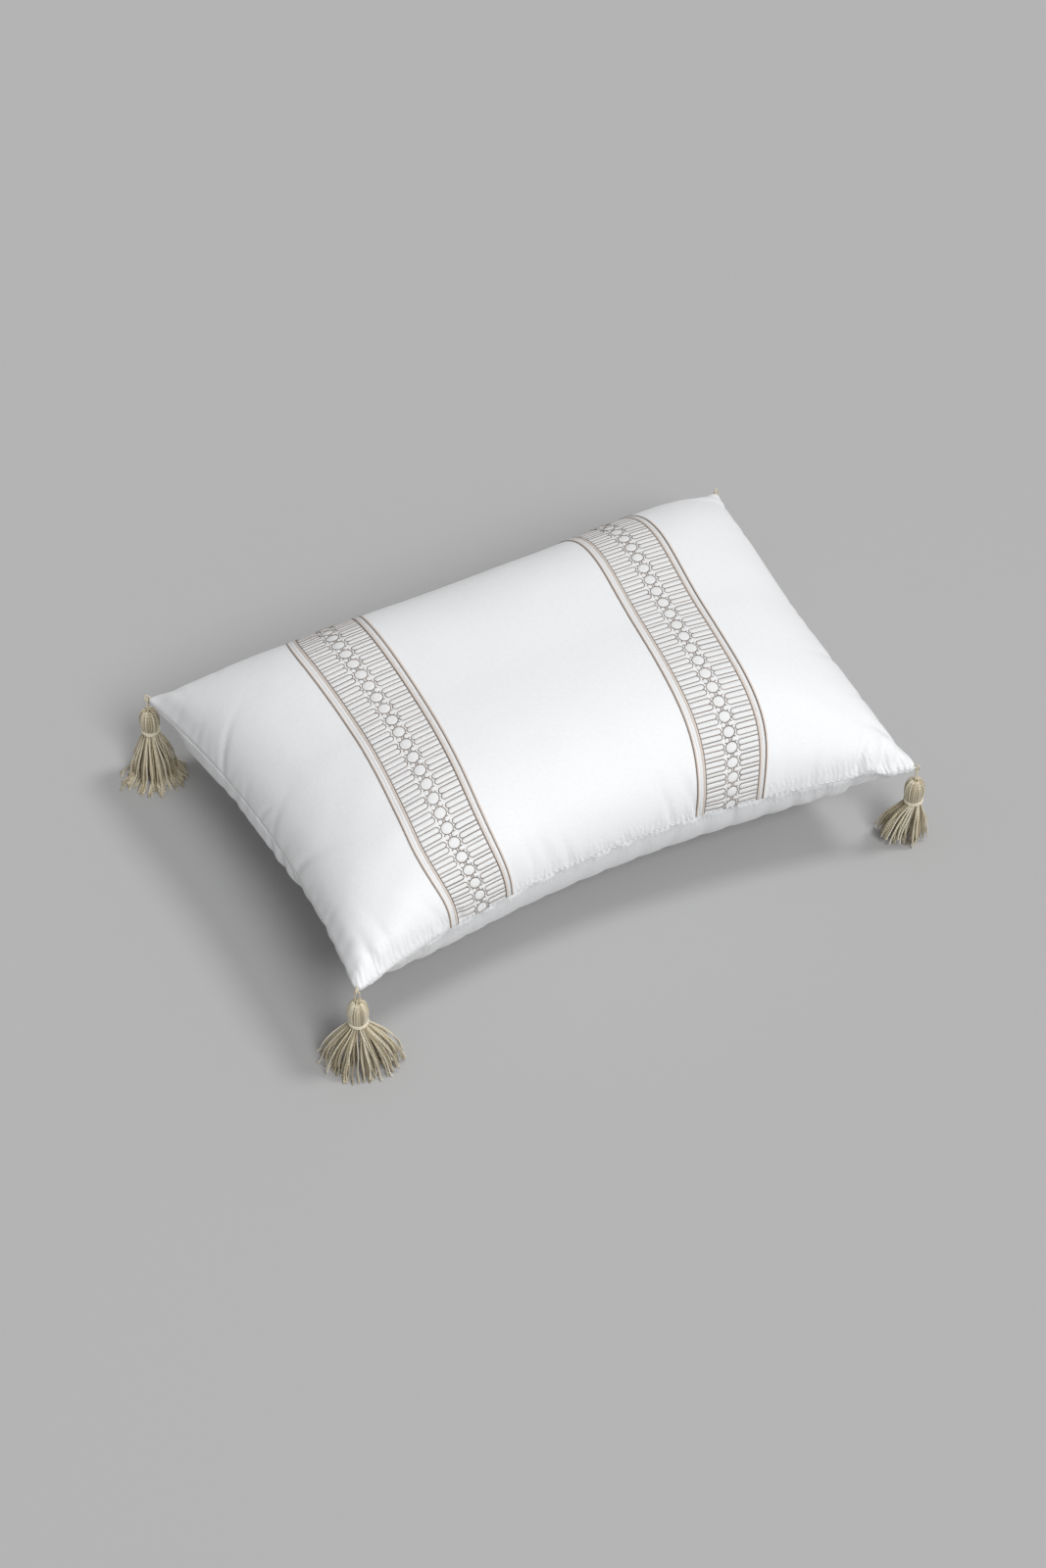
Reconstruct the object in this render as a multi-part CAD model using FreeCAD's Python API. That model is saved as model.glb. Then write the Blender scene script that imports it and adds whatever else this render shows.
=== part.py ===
import FreeCAD, Part

import math
import os

os.makedirs("parts", exist_ok=True)

# A lumbar throw pillow that lies flat on a surface, in millimetres.
# +X runs along the long edges, +Y points to the far edge, where the zipper is, and +Z points up.
# The origin is on the surface that the pillow lies on, under its middle.

# Cover
NEAR_HALF_LENGTH = 243.5     # middle to corner along X at the near edge, which is gathered
FAR_HALF_LENGTH = 260.5      # the same at the far edge. Both are before the tips are rounded off
HALF_WIDTH = 174.5           # middle to corner along Y
LONG_EDGE_SAG = 33.0         # the middle of a long edge lies this far inside its corners
SHORT_EDGE_SAG = 16.5
SEAM_HEIGHT = 78.0           # height of the seam between the two panels
CROWN_HEIGHT = 82.0          # top of the front panel above the seam
BELLY_DEPTH = 88.0           # depth of the back panel before the surface flattens it
FULLNESS = 0.3               # how much the crown fills out towards the edges
CLOTH = 1.0                  # wall of the cover and of the insert's casing
GAP = 0.3                    # clearance between pieces that only lie against each other
TIP_TRIM = 3.0               # how much of a cover corner's sharp tip is missing
CAVITY_TIP_TRIM = 7.0
INSERT_TIP_TRIM = 12.0
INSERT_INSET = 14.0          # the insert's seam lies this far inside the cover's seam
FUSE_TOLERANCE = 0.001

# Embroidered bands
BAND_CENTRE = 118.0          # band's middle line from the pillow's middle, along X
MOTIF_PITCH = 13.0           # ring to ring along the band
MOTIFS_PER_BAND = 25
RING_RADIUS = 4.6
THREAD_RADIUS = 0.5
BARS_PER_MOTIF = 3
BAR_START = 6.2              # bars run from here to the inner rail, either side of the rings
BAR_END = 23.0
INNER_RAIL = (23.5, 25.5)    # nearest and farthest edge from the band's middle line
OUTER_RAIL = (28.5, 31.5)
RAIL_THICKNESS = 0.8
RAIL_END_HEIGHT = 4.0        # rails stop this far above the seam

# Stitches that close the near seam
STITCH_LENGTH = 3.2
STITCH_PITCH = 5.0
STITCH_RADIUS = 0.35
STITCH_SPAN = (-105.0, 215.0)

# Concealed zipper in the far seam. Sections are (from, to) measured inwards from the seam's edge.
ZIP_HALF = 160.0             # half the length of the chain along the seam
SLOT_HALF_HEIGHT = 3.0
SLOT_END = 165.0
COIL_SECTION = (0.3, 3.9)
COIL_HEIGHTS = (0.1, 1.5)
TAPE_SECTION = (3.9, 4.4)
TAPE_HEIGHTS = (0.15, 12.0)
STOP_SECTION = (-0.6, 3.8)
STOP_HALF_HEIGHT = 1.9
STOP_LENGTH = 3.0
SLIDER_HALF_LENGTH = 4.5
SLIDER_WALL = (-1.8, -0.4)
SLIDER_PLATE = (-1.8, 3.3)
SLIDER_PLATE_HEIGHTS = (1.8, 2.6)
EAR_REACH = -5.8
EAR_HALF_LENGTH = 1.4
EAR_HEIGHTS = (2.5, 3.3)
PIN_OFFSET = -4.6
PIN_RADIUS = 0.8
TAB_EYE_BORE = 1.1
TAB_EYE_RADIUS = 2.4
TAB_HALF_WIDTH = 2.2
TAB_LENGTH = 24.0
TAB_SECTION = (-5.3, -3.9)

# Care label that hangs from the far seam
LABEL_SPAN = (-200.0, -178.0)
LABEL_SECTION = (-1.0, -0.4)
LABEL_DROP = 34.0

# Corner tassels, measured from each corner's tip
CORD_RADIUS = 0.7
TACK_RADIUS = 2.6            # ring of thread through the corner's tip
TACK_OUT = 1.6               # ring's centre outside the tip
LINK_PLAY = 1.7              # centre to centre of two linked cords
LOOP_BEND = 1.9
LOOP_HEIGHT = 13.0           # between the centres of the cord at the loop's two ends
EYE_RADIUS = 2.6
HEAD_DROP = 3.6              # head's top below the cord that carries it
HEAD_HEIGHT = 20.0
HEAD_RADIUS = 8.6
NECK_RADIUS = 5.2
WRAP_TURNS = 3
WRAP_CORD = 0.8
WRAP_GAP = 0.05
SKIRT_RADIUS = 20.0
SKIRT_CLEARANCE = 2.5        # skirt's end above the surface


def vec(x, y, z):
    return FreeCAD.Vector(x, y, z)


def export(name, shape):
    shape.exportStep("parts/" + name + ".step")


# ---- Pillow shapes -------------------------------------------------------------------------

def arc_radius(half, sag):
    return (half * half + sag * sag) / (2.0 * sag)


def bow(t, half, sag):
    """1 at the middle of an edge and 0 at its ends, along a circular arc."""
    radius = arc_radius(half, sag)
    return (math.sqrt(radius * radius - (half * t) ** 2) - (radius - sag)) / sag


def half_length(v):
    """Middle to corner along X, from the near edge (v is -1) to the far edge (v is 1)."""
    return (NEAR_HALF_LENGTH * (1.0 - v) + FAR_HALF_LENGTH * (1.0 + v)) / 2.0


def dome(angle):
    return math.cos(angle) * (1.0 + FULLNESS * math.sin(angle) ** 2)


def pillow_point(theta, phi, rim, face, side):
    """A point of the pillow's skin, grown by rim in plan and by face in height.
    theta runs along X and phi along Y, each from -90 to 90 degrees."""
    u = math.sin(theta)
    v = math.sin(phi)
    half = half_length(v)
    x = u * (half + rim - SHORT_EDGE_SAG * bow(v, HALF_WIDTH, SHORT_EDGE_SAG))
    y = v * (HALF_WIDTH + rim - LONG_EDGE_SAG * bow(u, half, LONG_EDGE_SAG))
    height = CROWN_HEIGHT + face if side > 0 else BELLY_DEPTH + face
    return vec(x, y, SEAM_HEIGHT + side * height * dome(theta) * dome(phi))


def corner_cut(depth, corner_x, corner_y, sx, sy):
    """A block that takes depth off a corner's tip, square to the corner's diagonal."""
    size = 60.0
    block = Part.makeBox(size, size, 400.0, vec(-size / 2, -size / 2, -200.0))
    block.rotate(vec(0, 0, 0), vec(0, 0, 1), 45.0)
    reach = size / 2 - depth
    block.translate(vec(sx * (corner_x + reach * math.sqrt(0.5)), sy * (corner_y + reach * math.sqrt(0.5)), 0))
    return block


def half_pillow(rim, face, side, tip_trim):
    """The solid above (side 1) or below (side -1) the seam plane, with its corner tips off."""
    steps = 28
    angles = [math.pi * (i / steps - 0.5) for i in range(steps + 1)]
    grid = [[pillow_point(theta, phi, rim, face, side) for phi in angles] for theta in angles]
    surface = Part.BSplineSurface()
    surface.interpolate(grid)
    skin = surface.toShape()
    base = Part.Face(Part.Wire(Part.__sortEdges__(skin.Edges)))
    solid = Part.Solid(Part.Shell([skin, base]))
    if solid.Volume < 0:
        solid.reverse()
    for sx in (-1, 1):
        for sy in (-1, 1):
            solid = solid.cut(corner_cut(tip_trim, half_length(sy) + rim, HALF_WIDTH + rim, sx, sy))
    if side < 0:
        below = Part.makeBox(1000.0, 1000.0, 100.0, vec(-500.0, -500.0, -100.0 - face))
        solid = solid.cut(below)
    return solid


def half_shell(outer, inner, side):
    """A panel between two nested pillow shapes, each given as (rim, face, tip trim)."""
    outside = half_pillow(outer[0], outer[1], side, outer[2])
    inside = half_pillow(inner[0], inner[1], side, inner[2])
    return outside.cut(inside)


# ---- Shapes along the long seams -----------------------------------------------------------

def edge_point(half, inwards, along, z):
    """A point given by its distance inwards from a long seam and its place along that seam.
    half is the seam's own half length. It is on the far side, and mirrored for the near seam."""
    seam_arc = arc_radius(half, LONG_EDGE_SAG)
    radius = seam_arc + inwards
    angle = along / seam_arc
    centre_y = HALF_WIDTH - LONG_EDGE_SAG + seam_arc
    return vec(radius * math.sin(angle), centre_y - radius * math.cos(angle), SEAM_HEIGHT + z)


def seam_point(inwards, along, z):
    return edge_point(FAR_HALF_LENGTH, inwards, along, z)


def seam_bar(section, heights, start, end):
    """A bar that follows the far seam, with a rectangular section."""
    middle = (start + end) / 2.0
    corners = [seam_point(i, s, heights[0]) for i in section for s in (start, end)]
    outer = Part.Arc(corners[0], seam_point(section[0], middle, heights[0]), corners[1]).toShape()
    inner = Part.Arc(corners[2], seam_point(section[1], middle, heights[0]), corners[3]).toShape()
    ends = [Part.makeLine(corners[0], corners[2]), Part.makeLine(corners[1], corners[3])]
    wire = Part.Wire(Part.__sortEdges__([outer, ends[1], inner, ends[0]]))
    return Part.Face(wire).extrude(vec(0, 0, heights[1] - heights[0]))


def mirrored(heights):
    return (-heights[1], -heights[0])


# ---- Embroidery ----------------------------------------------------------------------------

def skin_angles(x, y):
    """theta and phi of the front panel's point above (x, y)."""
    u = x / half_length(0.0)
    v = y / HALF_WIDTH
    for _ in range(30):
        u = x / (half_length(v) - SHORT_EDGE_SAG * bow(v, HALF_WIDTH, SHORT_EDGE_SAG))
        v = y / (HALF_WIDTH - LONG_EDGE_SAG * bow(u, half_length(v), LONG_EDGE_SAG))
        v = max(-0.99999, min(0.99999, v))
    return math.asin(u), math.asin(v)


def skin_frame(x, y):
    """The front panel's point above (x, y) and its outward normal."""
    theta, phi = skin_angles(x, y)
    step = 0.001
    point = pillow_point(theta, phi, 0.0, 0.0, 1)
    along_x = pillow_point(theta + step, phi, 0.0, 0.0, 1) - point
    along_y = pillow_point(theta, phi + step, 0.0, 0.0, 1) - point
    normal = along_x.cross(along_y)
    normal.normalize()
    return point, normal


def band_rows(x, pitch, count):
    """Y values at equal spacing over the crown, along the line of constant x."""
    reach = HALF_WIDTH - LONG_EDGE_SAG * bow(x / NEAR_HALF_LENGTH, NEAR_HALF_LENGTH, LONG_EDGE_SAG)
    samples = 4000
    rows = [0.0]
    travelled = 0.0
    last = skin_frame(x, 0.0)[0]
    for i in range(1, samples):
        y = reach * math.sin(math.pi / 2 * i / samples)
        point = skin_frame(x, y)[0]
        travelled += point.distanceToPoint(last)
        last = point
        if travelled >= pitch * len(rows):
            rows.append(y)
        if len(rows) > count // 2:
            break
    return [-y for y in rows[:0:-1]] + rows


def lifted(x, y, lift):
    point, normal = skin_frame(x, y)
    return point + normal * lift


def thread_bar(start, end):
    return Part.makeCylinder(THREAD_RADIUS, start.distanceToPoint(end), start, end - start)


def ring_chain(centre):
    rings = []
    for y in band_rows(centre, MOTIF_PITCH, MOTIFS_PER_BAND):
        point, normal = skin_frame(centre, y)
        rings.append(Part.makeTorus(RING_RADIUS, THREAD_RADIUS, point + normal * (GAP + THREAD_RADIUS), normal))
    return Part.makeCompound(rings)


def bar_rows(centre):
    bars = []
    lift = GAP + THREAD_RADIUS
    count = BARS_PER_MOTIF * MOTIFS_PER_BAND
    for y in band_rows(centre, MOTIF_PITCH / BARS_PER_MOTIF, count):
        for side in (-1, 1):
            start = lifted(centre + side * BAR_START, y, lift)
            end = lifted(centre + side * BAR_END, y, lift)
            bars.append(thread_bar(start, end))
    return Part.makeCompound(bars)


def rails(raised_skin, centre, edges):
    """The two ribbons of one rail pair, cut from a skin that stands just off the panel."""
    ribbons = []
    for side in (-1, 1):
        low = min(side * edges[0], side * edges[1])
        block = Part.makeBox(edges[1] - edges[0], 600.0, 300.0,
                             vec(centre + low, -300.0, SEAM_HEIGHT + RAIL_END_HEIGHT))
        ribbons.append(raised_skin.common(block))
    return Part.makeCompound(ribbons)


def near_stitches():
    stitches = []
    along = STITCH_SPAN[0]
    while along + STITCH_LENGTH <= STITCH_SPAN[1]:
        start = edge_point(NEAR_HALF_LENGTH, -STITCH_RADIUS - 0.1, along, 1.0)
        end = edge_point(NEAR_HALF_LENGTH, -STITCH_RADIUS - 0.1, along + STITCH_LENGTH, 1.0)
        stitch = Part.makeCylinder(STITCH_RADIUS, STITCH_LENGTH, start, end - start)
        stitches.append(stitch.mirror(vec(0, 0, 0), vec(0, 1, 0)))
        along += STITCH_PITCH
    return Part.makeCompound(stitches)


# ---- Zipper and label ----------------------------------------------------------------------

def zipper_slider(at):
    start, end = at - SLIDER_HALF_LENGTH, at + SLIDER_HALF_LENGTH
    ear_span = (at - EAR_HALF_LENGTH, at + EAR_HALF_LENGTH)
    body = seam_bar(SLIDER_WALL, (-EAR_HEIGHTS[1], EAR_HEIGHTS[1]), start, end)
    for heights in (SLIDER_PLATE_HEIGHTS, mirrored(SLIDER_PLATE_HEIGHTS)):
        body = body.fuse(seam_bar(SLIDER_PLATE, heights, start, end))
    for heights in (EAR_HEIGHTS, mirrored(EAR_HEIGHTS)):
        body = body.fuse(seam_bar((EAR_REACH, SLIDER_WALL[0]), heights, *ear_span))
    pin = Part.makeCylinder(PIN_RADIUS, 2 * EAR_HEIGHTS[1], seam_point(PIN_OFFSET, at, -EAR_HEIGHTS[1]))
    return body.fuse(pin).removeSplitter()


def zipper_tab(at):
    base = seam_point(PIN_OFFSET, at, -TAB_HALF_WIDTH)
    eye = Part.makeCylinder(TAB_EYE_RADIUS, 2 * TAB_HALF_WIDTH, base)
    plate = seam_bar(TAB_SECTION, (-TAB_HALF_WIDTH, TAB_HALF_WIDTH), at - TAB_LENGTH, at)
    bore = Part.makeCylinder(TAB_EYE_BORE, 2 * TAB_HALF_WIDTH, base)
    tab = eye.fuse(plate).cut(bore).removeSplitter()
    far_edges = [e for e in tab.Edges
                 if e.Length < 1.5 and e.CenterOfMass.x < seam_point(0, at - TAB_LENGTH + 0.5, 0).x]
    return tab.makeFillet(1.6, far_edges)


# ---- Tassels -------------------------------------------------------------------------------
# Each tassel is drawn with its outward diagonal along +X and the cord it swings on at the origin.

def cord_bend(centre_z, rise):
    """Half a ring of cord in the YZ plane, bulging up (rise 1) or down (rise -1)."""
    start = vec(0, -LOOP_BEND * rise, centre_z)
    section = Part.Face(Part.Wire(Part.makeCircle(CORD_RADIUS, start, vec(0, 0, 1))))
    return section.revolve(vec(0, 0, centre_z), vec(-1, 0, 0), 180.0)


def tassel_loop():
    top = -LOOP_BEND
    low = -LOOP_HEIGHT + LOOP_BEND
    loop = cord_bend(top, 1).fuse(cord_bend(low, -1))
    for y in (-LOOP_BEND, LOOP_BEND):
        loop = loop.fuse(Part.makeCylinder(CORD_RADIUS, top - low, vec(0, y, low)))
    return loop.removeSplitter()


def spun(curve_points, line_points):
    """A solid of revolution: a smooth profile, closed by straight lines back to its start."""
    curve = Part.BSplineCurve()
    curve.interpolate([vec(r, 0, z) for r, z in curve_points])
    corners = [vec(r, 0, z) for r, z in [curve_points[-1]] + line_points + [curve_points[0]]]
    edges = [curve.toShape()]
    for start, end in zip(corners, corners[1:]):
        if start.distanceToPoint(end) > 0:
            edges.append(Part.makeLine(start, end))
    face = Part.Face(Part.Wire(Part.__sortEdges__(edges)))
    return face.revolve(vec(0, 0, 0), vec(0, 0, 1), 360.0)


EYE_TOP = -LOOP_HEIGHT + LINK_PLAY
HEAD_TOP = EYE_TOP - HEAD_DROP
NECK_Z = HEAD_TOP - HEAD_HEIGHT
NECK_HALF = 2.4
PIVOT_Z = SEAM_HEIGHT - (TACK_RADIUS - LINK_PLAY)
SKIRT_END = SKIRT_CLEARANCE - PIVOT_Z


def corner_tack():
    return Part.makeTorus(TACK_RADIUS, CORD_RADIUS, vec(0, 0, TACK_RADIUS - LINK_PLAY), vec(0, 1, 0))


def tassel_head():
    """A bulb of yarn folded over its eye, with a straight neck below."""
    neck_top = NECK_Z + NECK_HALF
    bulb = spun([(0.0, HEAD_TOP), (0.45 * HEAD_RADIUS, HEAD_TOP - 0.8),
                 (0.86 * HEAD_RADIUS, HEAD_TOP - 4.0), (HEAD_RADIUS, HEAD_TOP - 9.0),
                 (0.88 * HEAD_RADIUS, HEAD_TOP - 14.0), (NECK_RADIUS, neck_top)],
                [(NECK_RADIUS, NECK_Z), (0.0, NECK_Z)])
    eye = Part.makeTorus(EYE_RADIUS, CORD_RADIUS, vec(0, 0, EYE_TOP - EYE_RADIUS), vec(0, 1, 0))
    return bulb.fuse(eye).removeSplitter()


def neck_wrap():
    pitch = 1.75 * WRAP_CORD
    turns = None
    for i in range(WRAP_TURNS):
        z = NECK_Z + pitch * (i - (WRAP_TURNS - 1) / 2.0)
        turn = Part.makeTorus(NECK_RADIUS + WRAP_GAP + WRAP_CORD, WRAP_CORD, vec(0, 0, z))
        turns = turn if turns is None else turns.fuse(turn)
    return turns


def tassel_skirt():
    flare_top = NECK_Z - NECK_HALF
    drop = flare_top - SKIRT_END
    spread = SKIRT_RADIUS - NECK_RADIUS
    curve = [(NECK_RADIUS, flare_top), (NECK_RADIUS + 0.22 * spread, flare_top - 0.2 * drop),
             (NECK_RADIUS + 0.6 * spread, flare_top - 0.58 * drop), (SKIRT_RADIUS, SKIRT_END)]
    return spun(curve, [(0.0, SKIRT_END), (0.0, NECK_Z), (NECK_RADIUS, NECK_Z)])


def at_corner(shape, sx, sy):
    """Turns a tassel piece outwards and hangs it at a corner's tip."""
    out = TACK_OUT - TIP_TRIM
    placed = shape.copy()
    placed.rotate(vec(0, 0, 0), vec(0, 0, 1), math.degrees(math.atan2(sy, sx)))
    placed.translate(vec(sx * (half_length(sy) + out * math.sqrt(0.5)),
                         sy * (HALF_WIDTH + out * math.sqrt(0.5)), PIVOT_Z))
    return placed


# ---- The pillow ----------------------------------------------------------------------------

COVER = (0.0, 0.0, TIP_TRIM)
CAVITY = (-CLOTH, -CLOTH, CAVITY_TIP_TRIM)
CASING = (-INSERT_INSET, -CLOTH - GAP, INSERT_TIP_TRIM)
CASING_INSIDE = (-INSERT_INSET - CLOTH, -2 * CLOTH - GAP, INSERT_TIP_TRIM)
FILLING = (-INSERT_INSET - CLOTH - GAP, -2 * CLOTH - 2 * GAP, INSERT_TIP_TRIM)

zipper_slot = seam_bar((-5.0, 5.0), (-SLOT_HALF_HEIGHT, SLOT_HALF_HEIGHT), -SLOT_END, SLOT_END)
export("front_panel", half_shell(COVER, CAVITY, 1).cut(zipper_slot))
export("back_panel", half_shell(COVER, CAVITY, -1).cut(zipper_slot))
export("insert_casing_front", half_shell(CASING, CASING_INSIDE, 1))
export("insert_casing_back", half_shell(CASING, CASING_INSIDE, -1))
upper_filling = half_pillow(FILLING[0], FILLING[1], 1, FILLING[2])
lower_filling = half_pillow(FILLING[0], FILLING[1], -1, FILLING[2])
export("insert_filling", upper_filling.fuse(lower_filling, FUSE_TOLERANCE))

rail_skin = half_shell((GAP + RAIL_THICKNESS, GAP + RAIL_THICKNESS, TIP_TRIM), (GAP, GAP, TIP_TRIM), 1)
for band, centre in (("left_band", -BAND_CENTRE), ("right_band", BAND_CENTRE)):
    export(band + "_outer_rails", rails(rail_skin, centre, OUTER_RAIL))
    export(band + "_inner_rails", rails(rail_skin, centre, INNER_RAIL))
    export(band + "_ring_chain", ring_chain(centre))
    export(band + "_bar_rows", bar_rows(centre))

export("near_seam_stitches", near_stitches())

export("zipper_tape_upper", seam_bar(TAPE_SECTION, TAPE_HEIGHTS, -ZIP_HALF, ZIP_HALF))
export("zipper_tape_lower", seam_bar(TAPE_SECTION, mirrored(TAPE_HEIGHTS), -ZIP_HALF, ZIP_HALF))
export("zipper_coil_upper", seam_bar(COIL_SECTION, COIL_HEIGHTS, -ZIP_HALF, ZIP_HALF))
export("zipper_coil_lower", seam_bar(COIL_SECTION, mirrored(COIL_HEIGHTS), -ZIP_HALF, ZIP_HALF))
stop_heights = (-STOP_HALF_HEIGHT, STOP_HALF_HEIGHT)
export("zipper_top_stop", seam_bar(STOP_SECTION, stop_heights, ZIP_HALF, ZIP_HALF + STOP_LENGTH))
export("zipper_bottom_stop", seam_bar(STOP_SECTION, stop_heights, -ZIP_HALF - STOP_LENGTH, -ZIP_HALF))

slider_at = ZIP_HALF - SLIDER_HALF_LENGTH - GAP
export("zipper_slider", zipper_slider(slider_at))
export("zipper_pull_tab", zipper_tab(slider_at))
export("care_label", seam_bar(LABEL_SECTION, (-LABEL_DROP, 0.0), *LABEL_SPAN))

for corner, sx, sy in (("front_left", -1, -1), ("front_right", 1, -1),
                       ("rear_left", -1, 1), ("rear_right", 1, 1)):
    export(corner + "_corner_tack", at_corner(corner_tack(), sx, sy))
    export(corner + "_tassel_loop", at_corner(tassel_loop(), sx, sy))
    export(corner + "_tassel_head", at_corner(tassel_head(), sx, sy))
    export(corner + "_neck_wrap", at_corner(neck_wrap(), sx, sy))
    export(corner + "_tassel_skirt", at_corner(tassel_skirt(), sx, sy))
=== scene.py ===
import math

import bpy
import numpy as np
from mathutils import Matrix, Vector


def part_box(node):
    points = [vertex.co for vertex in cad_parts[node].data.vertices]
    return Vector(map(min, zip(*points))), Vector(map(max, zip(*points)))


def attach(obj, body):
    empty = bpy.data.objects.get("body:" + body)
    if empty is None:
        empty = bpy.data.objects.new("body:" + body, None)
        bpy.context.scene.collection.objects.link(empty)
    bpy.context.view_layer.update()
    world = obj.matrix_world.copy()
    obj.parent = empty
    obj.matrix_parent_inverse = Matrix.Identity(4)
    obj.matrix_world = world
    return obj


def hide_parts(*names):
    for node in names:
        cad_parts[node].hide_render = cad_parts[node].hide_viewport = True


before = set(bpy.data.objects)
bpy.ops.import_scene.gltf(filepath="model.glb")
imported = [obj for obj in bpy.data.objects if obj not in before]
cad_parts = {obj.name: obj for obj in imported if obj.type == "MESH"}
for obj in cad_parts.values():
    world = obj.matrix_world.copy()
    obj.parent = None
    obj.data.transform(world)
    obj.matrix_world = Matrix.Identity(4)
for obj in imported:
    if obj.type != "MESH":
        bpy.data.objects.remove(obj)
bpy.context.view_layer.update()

# Looks of a lumbar throw pillow with embroidered bands and corner tassels, in metres.
# The long edges run along X. The near edge is at -Y, and the far one, with the zipper, at +Y.

MM = 0.001

# ---- Sizes -----------------------------------------------------------------------------------

# Cover: the seam follows the CAD panels, and the crown and belly come from the cloth simulation.
PANEL_LOW, PANEL_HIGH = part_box("front_panel")
SEAM_Z = PANEL_LOW.z
CROWN = PANEL_HIGH.z - SEAM_Z
BELLY = 88 * MM                    # before the floor flattens it
TACK_INSIDE = 0.99 * MM            # a corner tack's middle lies this far inside the sharp corner


def tack_reach(corner):
    """How far along X a corner lies from the middle."""
    low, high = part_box(corner + "_corner_tack")
    return abs(low.x + high.x) / 2 + TACK_INSIDE


NEAR_HALF_LENGTH = tack_reach("front_right")
FAR_HALF_LENGTH = tack_reach("rear_right")
MEAN_HALF_LENGTH = (NEAR_HALF_LENGTH + FAR_HALF_LENGTH) / 2
HALF_WIDTH = PANEL_HIGH.y + 0.9 * MM
LONG_SAG = 33 * MM                 # the middle of a long edge lies this far inside its corners
SHORT_SAG = 16.5 * MM
FULLNESS = 0.3
CUT = (530 * MM, 374 * MM)         # the flat cloth between its seams
CELLS = (104, 74)                  # cloth cells along X and Y in the simulation
SEAM_LIFT = 7 * MM                 # the middle of an edge stands this far above its corners
SHOULDER = 12.5 * MM               # the crown bulges out this far above the far seam
SIDE_SHOULDER = 4 * MM             # the same above the right seam
START_HEIGHT = 0.9                 # share of the full height that the simulation starts from
START_WAVES = 1.0 * MM
CRUMPLE = 0.4 * MM                 # small uneven filling under the skin left of the bands
MOST_MOVE = 16 * MM                # no point moves further than this from its start
SIM_FRAMES = 30
FLOOR_GAP = 1.6 * MM
FLOOR_BLEND = 3.5 * MM
TIP_START = 8 * MM                 # corner tips are rounded from here on
TIP_SOFTNESS = 7.8 * MM
SKIN_CELLS = (252, 174)            # cells of the finished skin
SEAM_ROWS = (0.09, 0.2, 0.34, 0.55, 0.85)   # extra rows by the seam, in simulation cells
SEAM_PUFF = 1.9 * MM               # the seam lies this deep between its two panels
FAR_SEAM_PUFF = 0.9 * MM
LEFT_BULGE = 4.5 * MM              # the back panel swells out this far beside the left seam

# Places of the back skin's even gathers along the near seam, in millimetres
GATHERS = (-228, -196, -171, -141, -118, -88, -62, -33, -8,
           22, 47, 77, 101, 133, 158, 186, 214, 238)

# Larger creases of the front (1) and back (-1) skin: the edge they run in from, their place along
# it, depth, width and length in millimetres, and their slant
CREASES = {
    1: (
        ("near", -102, 2.4, 5.5, 75, -0.05),
        ("near", -88, 1.3, 4.5, 50, 0.1),
        ("near", 132, 2.3, 5.5, 70, -0.05),
        ("near", 145, 1.7, 4.5, 55, 0.05),
        ("near", 212, 3.6, 4.5, 26, 0.45),
        ("near", 233, 4.2, 4.5, 22, 0.5),
        ("near", 246, 2.8, 3.6, 15, 0.7),
        ("right", -160, 2.6, 5.0, 26, 0.5),
        ("near", -236, 1.8, 5.0, 26, -0.6),
    ),
    -1: (
        ("near", 208, 3.4, 4.5, 20, 0.3),
        ("near", 232, 3.6, 4.5, 18, -0.3),
        *(("near", place, 2.2, 5.0, 48, 0.0) for place in GATHERS),
    ),
}

# Places where the near seam is drawn up or down: place along it, lift and width
SEAM_KINKS = (
    (221 * MM, 5.5 * MM, 9 * MM),
    (240 * MM, -1.5 * MM, 7 * MM),
    (-66 * MM, 1.2 * MM, 10 * MM),
)

# The cloth: a light sheet that hardly stretches, blown up by pressure alone
CLOTH = {
    "quality": 8,
    "mass": 0.02,
    "tension_stiffness": 80,
    "compression_stiffness": 20,
    "shear_stiffness": 5,
    "bending_stiffness": 0.05,
    "tension_damping": 20,
    "compression_damping": 20,
    "shear_damping": 20,
    "bending_damping": 1,
    "air_damping": 5,
    "use_pressure": True,
    "uniform_pressure_force": 10,
}

# Zipper slot in the far seam
SLOT_HALF = 165 * MM
SLOT_DEPTH = 7.5 * MM
SLOT_OPEN = 2.9 * MM

STITCH_PITCH = 5 * MM              # of the stitches beside the near seam

# Embroidery, measured on the flat cloth from a band's middle line
BAND_X = 120.5 * MM
BAND_DRIFT = {                     # of a band's far and near end, along X
    "left_band": (7 * MM, -18 * MM),
    "right_band": (5 * MM, -23 * MM),
}
PITCH = 13 * MM
MOTIFS = [(k - 14) * PITCH for k in range(29)]     # places of the rings along the band
RING_RADIUS = 4.9 * MM
BULB_RADIUS = 2.4 * MM
BULB_OUT = 3.1 * MM
STEM_HALF = 1.65 * MM              # half the width of the stem that ends in a bulb
FINGER_TIP = 5.9 * MM
INNER_RAIL = (23.5 * MM, 25.6 * MM)
OUTER_RAIL = (29.0 * MM, 31.2 * MM)
FINGER = PITCH / 2 - STEM_HALF     # width of the rounded fingers beside a ring
THREAD = 0.36 * MM
RAIL_THREADS = (0.4 * MM, 0.52 * MM, 0.28 * MM)    # inner, outer (a dark line of painted shade along each outer rail's left flank), and the inner rail's far side
PAD_ROOM = 0.35 * MM               # between a satin pad and its outline
PAD_HEIGHTS = (0.5 * MM, 0.42 * MM)                # of the rails' pads and of the white ones
BAND_END = CUT[1] / 2 - 1.2 * MM

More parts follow.
